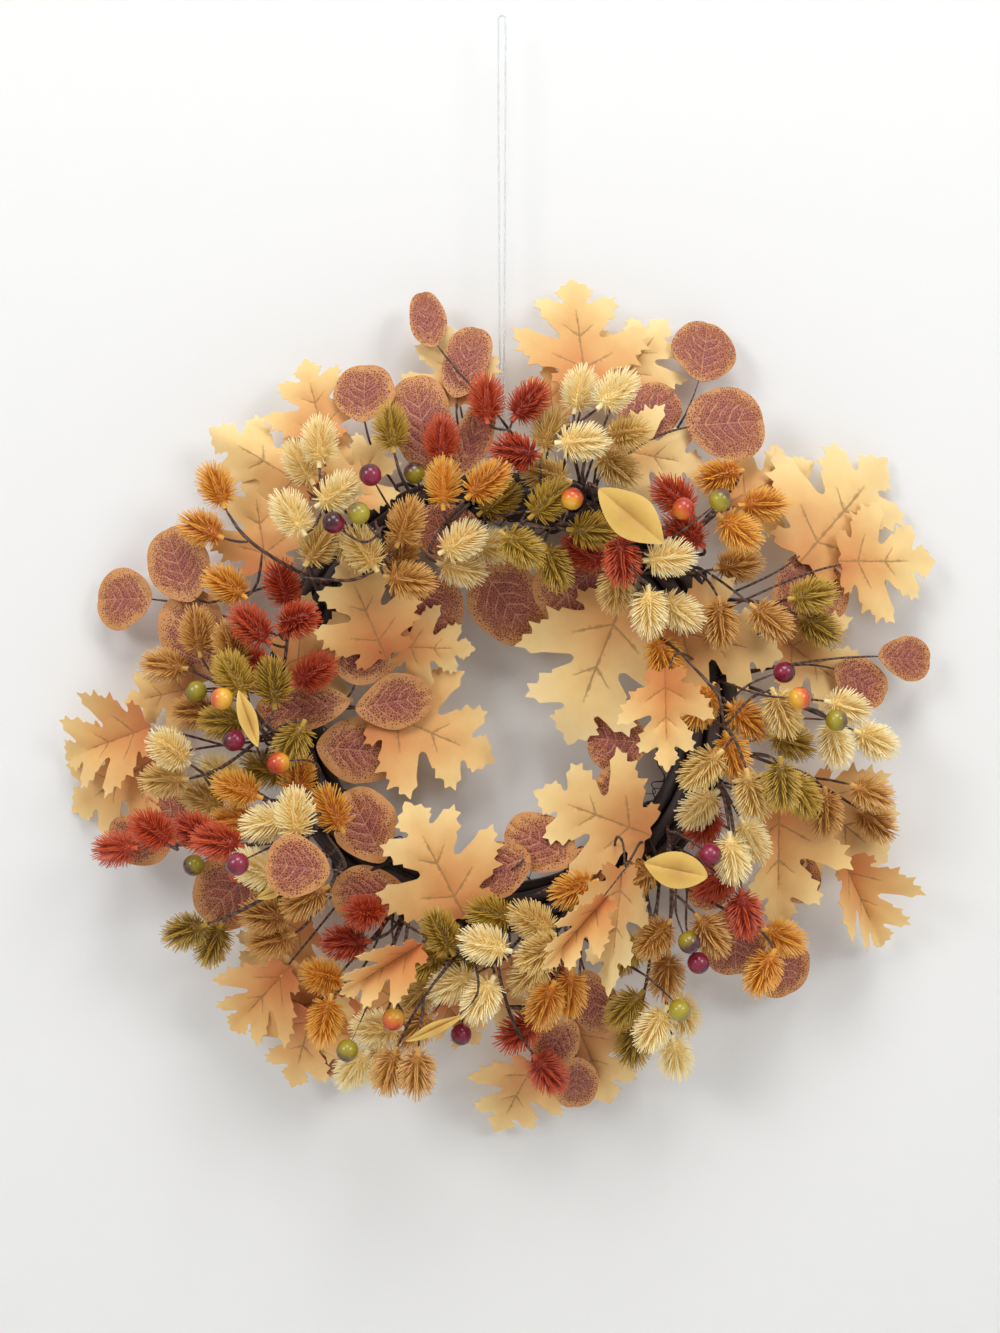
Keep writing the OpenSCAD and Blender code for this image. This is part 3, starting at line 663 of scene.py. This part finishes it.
# %% [markdown]
# ## Laying the leaves
# Each leaf takes the curve of its own solid, measured by a least-squares fit, and then the
# things a pressed fabric leaf has: a crease along the middle, raised veins, and a rim that
# waves a little. Some oak leaves are half closed, and those round the outside are a little
# longer than their solids. A leaf starts a little way up its stem and is lifted over it, so
# the two stay joined. Its two faces and its edge come from a solidify modifier.


# %% Folds
# Oak leaves with a fold of their own: x and z of the base in mm, and how far each half
# turns in degrees, plus toward the front.
FOLDS = [(63, -603, 60), (76, -587, -58), (-55, -635, 55), (105, -462, 34), (235, -590, 46),
         (188, -551, 22), (-246, -499, 24), (-147, -664, 34), (-131, -335, -30), (159, -341, -24),
         (-31, -274, -6)]
SAME_BASE = 4 * MM
# Leaves at the back fold forward by this many degrees more, and those at the top back.
BACK_Y = -20 * MM
TOP_Z = -260 * MM
BACK_FOLD = 8


def closing(base):
    """How far the halves of the leaf on this base turn, in radians."""
    for x, z, degrees in FOLDS:
        if math.hypot(base[0] - x * MM, base[2] - z * MM) < SAME_BASE:
            return math.radians(degrees)
    more = BACK_FOLD if base[2] < TOP_Z else -BACK_FOLD
    return math.radians(rng.uniform(-10, 4) + (more if base[1] > BACK_Y else 0))


print(len(FOLDS), "leaves with a fold of their own")

# %% Leaf maker
CLOTH = 0.35 * MM
# A leaf starts this far up its stem, and the first share of its length is lifted over it.
TUCK = 4.5 * MM
FOOT = 0.3
FOOT_LIFT = 1.8 * MM
# Leaves that start inside this radius and point outward rise over the stems they cross.
INNER_R = 130 * MM
RISE = 4.5 * MM
# Oak leaves that start outside this radius are longer than their solids; round ones wider.
OUTER_R = 215 * MM
LONGER = 1.11
WIDER = 1.04
# How far the halves rise from the crease and the leaf sinks, as shares of its length.
CREASE = 0.022
SINK = 0.02
# Width of the rim that waves, as a share of the length.
RIM = 0.16


def leaves(name, node, ends, cut, material, wide, wave):
    """All leaves of one solid, as one piece with its own coordinates and values."""
    flat, triangles, veined, folded, rimmed = cut
    points, faces = [], []
    values = {"vein": [], "rim": [], "tint": [], "along": [], "across": []}
    for cloud, middle in islands(node):
        base, axis, across, normal, length, half, fit = leaf_frame(cloud, middle, ends)
        spoke = Vector((base[0], base[2])) - RING_CENTRE.xz
        outward = spoke.normalized().dot(Vector((axis[0], axis[2])))
        grown = WIDER if wide else LONGER if spoke.length > OUTER_R else 1.0
        rise = RISE if spoke.length < INNER_R and outward > 0.3 else 0
        # The tint rises toward the upper right of the wreath, with a share of chance; on the oak cloth it
        # paints the leaves there paler, which is painted light.
        tint = 0.38 + 1.2 * base[0] + 0.8 * (base[2] + DROP * MM) + rng.uniform(-0.3, 0.3)
        tint = min(1.0, max(0.0, tint))
        phase = rng.uniform(0, 6)
        shift = len(points)
        pinch = rng.uniform(0, 0.3) if wide else 0
        skew = rng.uniform(-0.1, 0.1)
        turn = 0 if wide else closing(base)
        length *= grown
        scale = 2 * half * grown if wide else length * WIDER
        for (u, v), vein, fold, rim in zip(flat, veined, folded, rimmed):
            narrow = 1 - pinch * max(0.0, 1 - 2 * u) + 0.05 * math.sin(7 * u + phase)
            x = (u + skew * v * (1 - u)) * (length + TUCK) - TUCK
            y = v * narrow * scale
            lift = abs(y) * math.sin(turn)
            y *= math.cos(turn)
            root = max(0.0, 1 - u / FOOT)
            h = fit @ (1, x, y, x * x, x * y, y * y) + lift + FOOT_LIFT * root
            h += rise * math.sin(math.pi * min(u / 0.55, 1))
            valley = CREASE * min(abs(v) * 4, 1.0) * (1 - 0.5 * u) - SINK * (1 - root)
            edge = max(0.0, 1 - rim / RIM) * min(1.0, 3 * abs(v) + u)
            ripple = 0.6 * wave * MM * (math.sin(9 * u + 5 * v + phase) - 1) * edge
            emboss = (0.3 * vein + 0.9 * fold) * (1 - root) * MM
            crumple = wave * 0.45 * MM * noise.noise(Vector((x, y, phase * 5 * MM)) * 45)
            height = h + valley * length + ripple + crumple - emboss
            points.append(base + axis * x + across * y + normal * height)
            for key, value in zip(values, (vein, rim, tint, u, v)):
                values[key].append(value)
        faces += [tuple(i + shift for i in f) for f in triangles]
    thing = piece(name, points, faces, material)
    keep_values(thing.data, values)
    bm = bmesh.new()
    bm.from_mesh(thing.data)
    for edge in bm.edges:
        edge.smooth = not edge.is_boundary
    bm.to_mesh(thing.data)
    bm.free()
    cloth = thing.modifiers.new("cloth", "SOLIDIFY")
    cloth.thickness = CLOTH
    cloth.offset = 0
    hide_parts(node)
    print(name, len(faces), "triangles")


print("leaf maker ready")

# %% [markdown]
# ## Oak leaves
# Cream to peach polyester cloth, dyed darker toward the base and paler at the lobe tips,
# with brown printed veins and a faint weave. The colour runs along the leaf's own length.
# Leaves toward the upper right of the wreath are painted paler, which is painted light.

# %% Oak leaf cloth
# Heat-pressed polyester: matt with a soft sheen, printed veins, mottled dye.
oak_cloth, tree, shader, coords, along, across, tint, vein = finish(
    "oak_leaf_cloth", "along", "across", "tint", "vein")
mottle = add(tree, "ShaderNodeTexNoise", {"Vector": coords, "Scale": 1 / (22 * MM), "Detail": 4.0})
far = add(tree, "ShaderNodeMath", {0: across}, operation="ABSOLUTE")
out = add(tree, "ShaderNodeMath", {0: far, 1: 0.9, 2: along}, operation="MULTIPLY_ADD")
dye = add(tree, "ShaderNodeMath", {0: mottle, 1: 0.5, 2: out}, operation="MULTIPLY_ADD")
# Adding the tint paints the oak leaves toward the upper right of the wreath paler: painted light.
shade = add(tree, "ShaderNodeMath", {0: tint, 1: 0.45, 2: dye}, operation="MULTIPLY_ADD")
spread = add(tree, "ShaderNodeMapRange", {"Value": shade, "From Min": 0.3, "From Max": 1.7})
ramp = add(tree, "ShaderNodeValToRGB", {"Fac": spread},
           stops=[(0.0, "#C46C3C"), (0.22, "#D28A4C"), (0.48, "#E0AA66"), (0.75, "#EFCC88"),
                  (1.0, "#F9DEA3")])
line_of = add(tree, "ShaderNodeMapRange",
              {"Value": vein, "From Min": 0.3, "From Max": 0.9, "To Max": 0.75})
inked = add(tree, "ShaderNodeMix", {"Factor": line_of, 6: ramp, 7: linear("#8F6A38")}, data_type="RGBA")
weave = add(tree, "ShaderNodeTexNoise", {"Vector": coords, "Scale": 1 / (0.9 * MM), "Detail": 2.0})
bump = add(tree, "ShaderNodeBump", {"Height": weave, "Strength": 0.25, "Distance": 0.2 * MM})
feed(shader, {"Base Color": inked, "Normal": bump, "Roughness": 0.62, "IOR": 1.48, "Sheen Weight": 0.05})

# %% Oak leaves
ends = stem_ends("oak_stems")
for node in sorted(n for n in solids if n.startswith("oak_leaves_")):
    leaves(node + "_cloth", node, ends, oak_pattern, oak_cloth, False, 2.4)

# %% [markdown]
# ## Eucalyptus leaves
# Round cloth leaves printed with burgundy dots on a copper ground, which shows between them
# as a fine net, and with pale ribs. The dots get smaller toward the rim. They are cells of
# 1.7 mm, a little coarser than the real print so that they show.

# %% Eucalyptus cloth
# Heat-pressed polyester with a speckled print: matt, slightly waxy.
round_cloth, tree, shader, coords, tint, vein, rim = finish("eucalyptus_cloth", "tint", "vein", "rim")
mottle = add(tree, "ShaderNodeTexNoise", {"Vector": coords, "Scale": 1 / (16 * MM), "Detail": 3.0})
reach = add(tree, "ShaderNodeMath", {0: mottle, 1: -0.3, 2: rim}, operation="MULTIPLY_ADD")
drift = add(tree, "ShaderNodeMath", {0: tint, 1: 0.16, 2: reach}, operation="MULTIPLY_ADD")
field = add(tree, "ShaderNodeValToRGB", {"Fac": drift},
            stops=[(0.0, "#C88C52"), (0.12, "#BC764A"), (0.3, "#AC644E")])
net = add(tree, "ShaderNodeTexVoronoi", {"Vector": coords, "Scale": 1 / (1.7 * MM)},
          feature="DISTANCE_TO_EDGE")
edge = add(tree, "ShaderNodeMapRange",
           {"Value": drift, "From Min": -0.2, "From Max": 0.04, "To Min": 0.42, "To Max": 0.05})
over = add(tree, "ShaderNodeMath", {0: net, 1: edge}, operation="SUBTRACT")
dots = add(tree, "ShaderNodeMapRange", {"Value": over, "From Max": 0.09, "To Max": 0.92})
dotted = add(tree, "ShaderNodeMix", {"Factor": dots, 6: field, 7: linear("#6E2428")}, data_type="RGBA")
ribs = add(tree, "ShaderNodeMapRange", {"Value": vein, "From Min": 0.4, "From Max": 0.95, "To Max": 0.75})
ribbed = add(tree, "ShaderNodeMix", {"Factor": ribs, 6: dotted, 7: linear("#D09A70")}, data_type="RGBA")
bump = add(tree, "ShaderNodeBump", {"Height": net, "Strength": 0.3, "Distance": 0.25 * MM})
feed(shader, {"Base Color": ribbed, "Normal": bump, "Roughness": 0.6, "IOR": 1.48, "Sheen Weight": 0.04})

# %% Eucalyptus leaves
ends = stem_ends("eucalyptus_stems")
for node in sorted(n for n in solids if n.startswith("eucalyptus_") and n != "eucalyptus_stems"):
    leaves(node + "_cloth", node, ends, round_pattern, round_cloth, True, 0.8)

# %% [markdown]
# ## Mustard leaves
# A few small plain leaves sit by the berries: mustard cloth with one faint rib and no other
# print, cut to a third pattern and laid like the round leaves.

# %% Mustard leaves
# Dyed polyester, satin side out: even mustard, paler toward the rim.
mustard, tree, shader, coords, rim, vein = finish("mustard_leaf_cloth", "rim", "vein")
mottle = add(tree, "ShaderNodeTexNoise", {"Vector": coords, "Scale": 1 / (9 * MM), "Detail": 3.0})
dye = add(tree, "ShaderNodeMath", {0: mottle, 1: 0.25, 2: rim}, operation="MULTIPLY_ADD")
ramp = add(tree, "ShaderNodeValToRGB", {"Fac": dye},
           stops=[(0.0, "#E2C06C"), (0.25, "#D6AC54"), (0.5, "#C09244")])
line_of = add(tree, "ShaderNodeMapRange", {"Value": vein, "From Min": 0.4, "To Max": 0.45})
inked = add(tree, "ShaderNodeMix", {"Factor": line_of, 6: ramp, 7: linear("#A8782E")}, data_type="RGBA")
feed(shader, {"Base Color": inked, "Roughness": 0.5, "IOR": 1.48})
plain_half = [(k / 12, 0.5 * math.sin(math.pi * (k / 12) ** 0.9) ** 0.85) for k in range(1, 12)]
plain_rim = smooth_rim(mirrored(plain_half, [(0.0, 0.0)]), 2, 0.4)
plain_pattern = pattern(plain_rim, round_veins[:1], 0.016, 0.07)
ends = stem_ends("berry_wires")
leaves("small_leaves_cloth", "small_leaves", ends, plain_pattern, mustard, True, 0.5)

# %% [markdown]
# ## Bristly buds
# Each bud is moulded in soft plastic: a stubby stalk, a core, and rows of tapered bristles
# that lean toward the tip. Bristles repeat by the hundred on a surface, so a node tree
# scatters them: points a set distance apart on the core and a few-sided spike on each, turned
# between the surface's own direction and the bud's axis and bent toward that axis. Spikes
# keep how far along they are, so their tips can be paler than their roots.


# %% Bristle tree
TIP_R = 0.24 * MM
# How far the tip of a bristle is bent over, and the least and most it is scaled by chance.
BEND = 1.1 * MM
UNEVEN = (0.86, 1.16)
GIVEN = {"Core": "Geometry", "Spacing": "Float", "Length": "Float", "Thickness": "Float",
         "Seed": "Int", "Plastic": "Material"}


def bristle_tree():
    """Scatter leaning spikes on a core that carries its bud's axis."""
    tree = bpy.data.node_groups.new("bristles", "GeometryNodeTree")
    for name, kind in GIVEN.items():
        tree.interface.new_socket(name, in_out="INPUT", socket_type="NodeSocket" + kind)
    tree.interface.new_socket("Bud", in_out="OUTPUT", socket_type="NodeSocketGeometry")
    given = add(tree, "NodeGroupInput").outputs
    spike = add(tree, "GeometryNodeMeshCone",
                {"Vertices": 4, "Side Segments": 2, "Radius Top": TIP_R, "Depth": given["Length"],
                 "Radius Bottom": given["Thickness"]}, fill_type="NGON")
    where = add(tree, "GeometryNodeInputPosition")
    height = add(tree, "ShaderNodeSeparateXYZ", {0: where})
    share = add(tree, "ShaderNodeMath", {0: height.outputs["Z"], 1: given["Length"]}, operation="DIVIDE")
    kept = add(tree, "GeometryNodeStoreNamedAttribute", {"Geometry": spike, "Name": "tip", "Value": share},
               data_type="FLOAT", domain="POINT")
    square = add(tree, "ShaderNodeMath", {0: share, 1: 2.0}, operation="POWER")
    sideways = add(tree, "ShaderNodeMath", {0: square, 1: BEND}, operation="MULTIPLY")
    swept = add(tree, "ShaderNodeCombineXYZ", {"X": sideways})
    bent = add(tree, "GeometryNodeSetPosition", {"Geometry": kept, "Offset": swept})
    body = add(tree, "GeometryNodeInputNamedAttribute", {"Name": "body"}, data_type="FLOAT")
    spots = add(tree, "GeometryNodeDistributePointsOnFaces",
                {"Mesh": given["Core"], "Distance Min": given["Spacing"], "Density Max": 9e6,
                 "Seed": given["Seed"], "Density Factor": body}, distribute_method="POISSON")
    axis = add(tree, "GeometryNodeInputNamedAttribute", {"Name": "axis"}, data_type="FLOAT_VECTOR")
    lean = add(tree, "GeometryNodeInputNamedAttribute", {"Name": "lean"}, data_type="FLOAT")
    heading = add(tree, "ShaderNodeMix", {0: lean, 4: spots.outputs["Normal"], 5: axis}, data_type="VECTOR")
    raised = add(tree, "FunctionNodeAlignRotationToVector", {"Vector": heading}, axis="Z")
    aimed = add(tree, "FunctionNodeAlignRotationToVector", {"Rotation": raised, "Vector": axis}, axis="X",
                pivot_axis="Z")
    uneven = add(tree, "FunctionNodeRandomValue", {2: UNEVEN[0], 3: UNEVEN[1], "Seed": given["Seed"]},
                 data_type="FLOAT")
    size = add(tree, "GeometryNodeInputNamedAttribute", {"Name": "size"}, data_type="FLOAT")
    scaled = add(tree, "ShaderNodeMath", {0: uneven, 1: size}, operation="MULTIPLY")
    rows = add(tree, "GeometryNodeInstanceOnPoints",
               {"Points": spots, "Instance": bent, "Rotation": aimed, "Scale": scaled})
    both = add(tree, "GeometryNodeJoinGeometry", {"Geometry": rows})
    tree.links.new(given["Core"], both.inputs["Geometry"])
    real = add(tree, "GeometryNodeRealizeInstances", {"Geometry": both})
    dressed = add(tree, "GeometryNodeSetMaterial", {"Geometry": real, "Material": given["Plastic"]})
    add(tree, "NodeGroupOutput", {"Bud": dressed})
    return tree


bristles = bristle_tree()
print("bristle tree:", len(bristles.nodes), "nodes")

# %% [markdown]
# ## Bud colours
# The buds come in six dye lots. Each plastic is painted deeper at the roots of the bristles
# and on the core between them, which is painted shade, and paler at their tips, and no two
# buds are quite the same.

# %% Bud plastics
bud_colours = {"cream": ("#E9C270", "#FADF94", "#FFEFBA"), "tan": ("#BE9046", "#DDB460", "#EDD088"),
               "amber": ("#B86414", "#E09428", "#F2B850"), "ochre": ("#955C20", "#C58838", "#E0AE60"),
               "olive": ("#77560F", "#A68222", "#CCA744"), "rust": ("#84200E", "#B83E1C", "#D25C34")}


def dye_and_shade_ramp(name, value, tint_share, cloud, cloud_share, detail, stops, surface):
    """A colour ramp that runs with a value of the piece, its own tint and a cloud of a size in mm: dye on
    the berries, and on the buds partly painted shade at the bristle roots.
    """
    made, tree, shader, coords, place, tint = finish(name, value, "tint")
    runs = add(tree, "ShaderNodeTexNoise", {"Vector": coords, "Scale": 1 / (cloud * MM), "Detail": detail})
    lot = add(tree, "ShaderNodeMath", {0: tint, 1: tint_share, 2: place}, operation="MULTIPLY_ADD")
    vary = add(tree, "ShaderNodeMath", {0: runs, 1: cloud_share, 2: lot}, operation="MULTIPLY_ADD")
    ramp = add(tree, "ShaderNodeValToRGB", {"Fac": vary}, stops=stops)
    feed(shader, {"Base Color": ramp, **surface})
    return made


bud_plastic = {}
for name, (shaded_root, middle, pale) in bud_colours.items():
    # Soft moulded polyethylene: satin and pale at the bristle tips; the deep colour at their roots and
    # between them is painted shade.
    stops = [(0.0, shaded_root), (0.2, shaded_root), (0.6, middle), (1.0, pale)]
    satin = {"Roughness": 0.46, "IOR": 1.51}
    bud_plastic[name] = dye_and_shade_ramp(name + "_bud_plastic", "tip", 0.3, 12, 0.3, 2.0, stops, satin)
print(len(bud_plastic), "bud plastics")

# %% [markdown]
# ## Making the buds
# The core is turned from a short profile round each bud's own axis, which runs from the far
# end of its stalk to the middle of its surface. The stalk carries no bristles.

# %% Bud cores
# Radius and place along the axis in mm, then bristles or none, their lean and their size.
CORE = [(0.0, -18.0, 0, 0, 0), (1.5, -18.0, 0, 0, 0), (1.75, -17.4, 0, 0, 0), (1.7, -13.4, 0, 0, 0),
        (3.4, -12.4, 1, 0.1, 0.66), (4.8, -9.8, 1, 0.18, 0.86), (5.4, -6.0, 1, 0.24, 1.0),
        (5.4, -1.0, 1, 0.29, 1.05), (4.9, 4.0, 1, 0.34, 1.05), (3.8, 8.0, 1, 0.4, 1.0),
        (2.3, 10.8, 1, 0.5, 0.92), (0.0, 12.0, 1, 0.8, 0.9)]
CORE_SIDES = 12
STALK = -CORE[0][1]
# Points of a solid that are this close to the farthest from its middle are its stalk's end.
END = 0.3 * MM
# Place on the bud ramp of the core between its bristles, painted in the deep root colour as painted shade,
# and of the stalk.
SHADED_CORE, PALE = 0.1, 0.6
bud_count = 0
for node in sorted(n for n in solids if "_buds_" in n):
    points, faces, axes = [], [], []
    values = {"body": [], "lean": [], "size": [], "tip": [], "tint": []}
    for cloud, middle in islands(node):
        reach = np.linalg.norm(cloud - middle, axis=1)
        stalk = cloud[reach > reach.max() - END].mean(0)
        axis = Vector(middle - stalk).normalized()
        centre = Vector(stalk) + axis * STALK * MM
        tint = rng.random()
        faces += quads(len(CORE), CORE_SIDES, len(points))
        points += turned([row[:2] for row in CORE], centre, axis, CORE_SIDES)
        axes += [*axis] * (len(CORE) * CORE_SIDES)
        for _, _, grows, lean, size in CORE:
            for key, value in zip(values, (grows, lean, size, SHADED_CORE if grows else PALE, tint)):
                values[key] += [value] * CORE_SIDES
        bud_count += 1
    mesh = bpy.data.meshes.new(node + "_core")
    mesh.from_pydata(points, [], faces)
    mesh.attributes.new("axis", "FLOAT_VECTOR", "POINT").data.foreach_set("vector", axes)
    keep_values(mesh, values)
    seal(mesh)
    core = show(node + "_core", mesh)
    grow = core.modifiers.new("bristles", "NODES")
    grow.node_group = bristles
    sizes = {"Spacing": 1.4 * MM, "Length": 8.6 * MM, "Thickness": 0.58 * MM, "Seed": 3,
             "Plastic": bud_plastic[node.split("_")[0]]}
    for item in bristles.interface.items_tree:
        if item.name in sizes and item.in_out == "INPUT":
            grow[item.identifier] = sizes[item.name]
    grown = bpy.data.meshes.new_from_object(core.evaluated_get(bpy.context.evaluated_depsgraph_get()))
    core.modifiers.clear()
    core.data = grown
    core.name = node + "_bristles"
    declare(core, [node])
    print(core.name, len(grown.polygons), "faces")
print(bud_count, "buds")

# %% [markdown]
# ## Berries
# Lacquered foam balls, two-toned where they were dipped a second time, with a small dimple
# at the tip. Each was dipped to its own depth, so each has its own tint. The lacquer is hard
# and glossy, so it is a clear coat over the dyed ball.

# %% Berry lacquers
berry_colours = {"burgundy": ("#3C0A1A", "#7E1632", "#8E2240"), "olive": ("#4E2430", "#8E7C1C", "#AE9E2E"),
                 "orange": ("#B8361E", "#DE6A26", "#EDB23C")}
berry_lacquer = {}
for name, (crown, belly, foot) in berry_colours.items():
    # Dipped lacquer on foam: bands of dye that run into each other under a glossy coat.
    stops = [(0.0, foot), (0.35, foot), (0.7, belly), (1.0, crown)]
    glossy = {"Roughness": 0.2, "IOR": 1.45, "Coat Weight": 0.15, "Coat Roughness": 0.06}
    berry_lacquer[name] = dye_and_shade_ramp(name + "_berry_lacquer", "height", 0.35, 7, 0.4, 3.0, stops, glossy)
print(len(berry_lacquer), "berry lacquers")

# %% Berries
BERRY_R = 7.3
# Radius and height as shares of the berry's radius, with the dimple at the end.
BERRY = [(0.0, -1.0), (0.34, -0.95), (0.62, -0.79), (0.85, -0.53), (0.97, -0.2), (0.99, 0.12),
         (0.92, 0.42), (0.76, 0.67), (0.54, 0.86), (0.3, 0.97), (0.16, 0.985), (0.1, 0.93), (0.07, 0.98),
         (0.0, 1.03)]
BERRY_SIDES = 20
profile = [(r * BERRY_R, z * BERRY_R) for r, z in BERRY]
wires = stem_ends("berry_wires")
for name in berry_colours:
    node = name + "_berries"
    points, faces = [], []
    values = {"height": [], "tint": []}
    for cloud, _ in islands(node):
        tint = rng.uniform(-0.5, 1)
        centre = Vector((cloud.max(0) + cloud.min(0)) / 2)
        near = min(cloud, key=lambda p: wires.find(p)[2])
        axis = (centre - Vector(near)).normalized()
        faces += quads(len(profile), BERRY_SIDES, len(points))
        points += turned(profile, centre, axis, BERRY_SIDES)
        for _, z in BERRY:
            values["height"] += [(z + 1) / 2] * BERRY_SIDES
            values["tint"] += [tint] * BERRY_SIDES
    balls = piece(node + "_lacquered", points, faces, berry_lacquer[name], [node])
    keep_values(balls.data, values)
    seal(balls.data)
    print(balls.name, len(balls.data.polygons), "faces")

# %% [markdown]
# ## Backdrop and light
# The wreath hangs close to a pale upright sheet, which catches its soft shadows, over a pale
# floor. The sheet is seen only from the front and lets light through, so that the back of
# the wreath can be looked at. Two broad lamps stand to the left and right and one above, a
# weak one behind lights the back, and the world fills in.

# %% Stage
plaster, tree, shader, _ = finish("matt_wall_paint")
# Matt emulsion paint, rolled on: no shine, nearly white.
feed(shader, {"Base Color": linear("#ECECEB"), "Roughness": 0.9})
facing = add(tree, "ShaderNodeNewGeometry")
ray = add(tree, "ShaderNodeLightPath")
open_to = add(tree, "ShaderNodeMath", {0: facing.outputs["Backfacing"], 1: ray.outputs["Is Shadow Ray"]},
              operation="MAXIMUM")
clear = add(tree, "ShaderNodeBsdfTransparent")
one_sided = add(tree, "ShaderNodeMixShader", {0: open_to, 1: shader, 2: clear})
feed(tree.nodes["Material Output"], {"Surface": one_sided})
WALL_Y = 27 * MM
FLOOR_Z = -1.45
# Half the width, the height of the sheet and the depth of the floor, in metres.
SIDE, HIGH, FRONT, BACK = 3, 2, -4, 3
upright = [(-SIDE, FLOOR_Z), (SIDE, FLOOR_Z), (SIDE, HIGH), (-SIDE, HIGH)]
level = [(-SIDE, FRONT), (SIDE, FRONT), (SIDE, BACK), (-SIDE, BACK)]
backdrop = [("wall", [(x, WALL_Y, z) for x, z in upright]), ("floor", [(x, y, FLOOR_Z) for x, y in level])]
for name, corners in backdrop:
    mesh = bpy.data.meshes.new(name)
    mesh.from_pydata(corners, [], [(0, 1, 2, 3)])
    mesh.materials.append(plaster)
    show(name, mesh)
print("backdrop at", WALL_Y, "m")

# %% Light
# Name, place and width in metres, and power in watts.
LAMPS = [("left_lamp", (-1.6, -1.9, 0.5), 0.9, 20), ("right_lamp", (1.6, -1.9, 0.5), 0.9, 18.5),
         ("top_lamp", (0.1, -1.5, 1.5), 1.2, 29), ("back_lamp", (0.9, 2.2, 0.9), 1.2, 19)]
AIM = Vector((0, 0, -0.45))
# Light of the world on the pieces; the camera and reflections see it white.
FILL = 0.24
for name, place, size, power in LAMPS:
    lamp = bpy.data.lights.new(name, "AREA")
    lamp.size = size
    lamp.energy = power
    stand = show(name, lamp)
    stand.location = place
    stand.rotation_euler = (AIM - Vector(place)).to_track_quat("-Z", "Y").to_euler()
sky = bpy.data.worlds.new("plain_room")
scene.world = sky
sky.use_nodes = True
tree = sky.node_tree
path_of = add(tree, "ShaderNodeLightPath")
seen = add(tree, "ShaderNodeMath",
           {0: path_of.outputs["Is Camera Ray"], 1: path_of.outputs["Is Glossy Ray"]}, operation="MAXIMUM")
shown = add(tree, "ShaderNodeMath", {0: seen, 1: path_of.outputs["Is Transmission Ray"]},
            operation="MAXIMUM")
power = add(tree, "ShaderNodeMapRange", {"Value": shown, "To Min": FILL, "To Max": 1.0})
feed(tree.nodes["Background"], {"Strength": power, "Color": (1, 1, 1, 1)})
print("four lamps and a plain world")
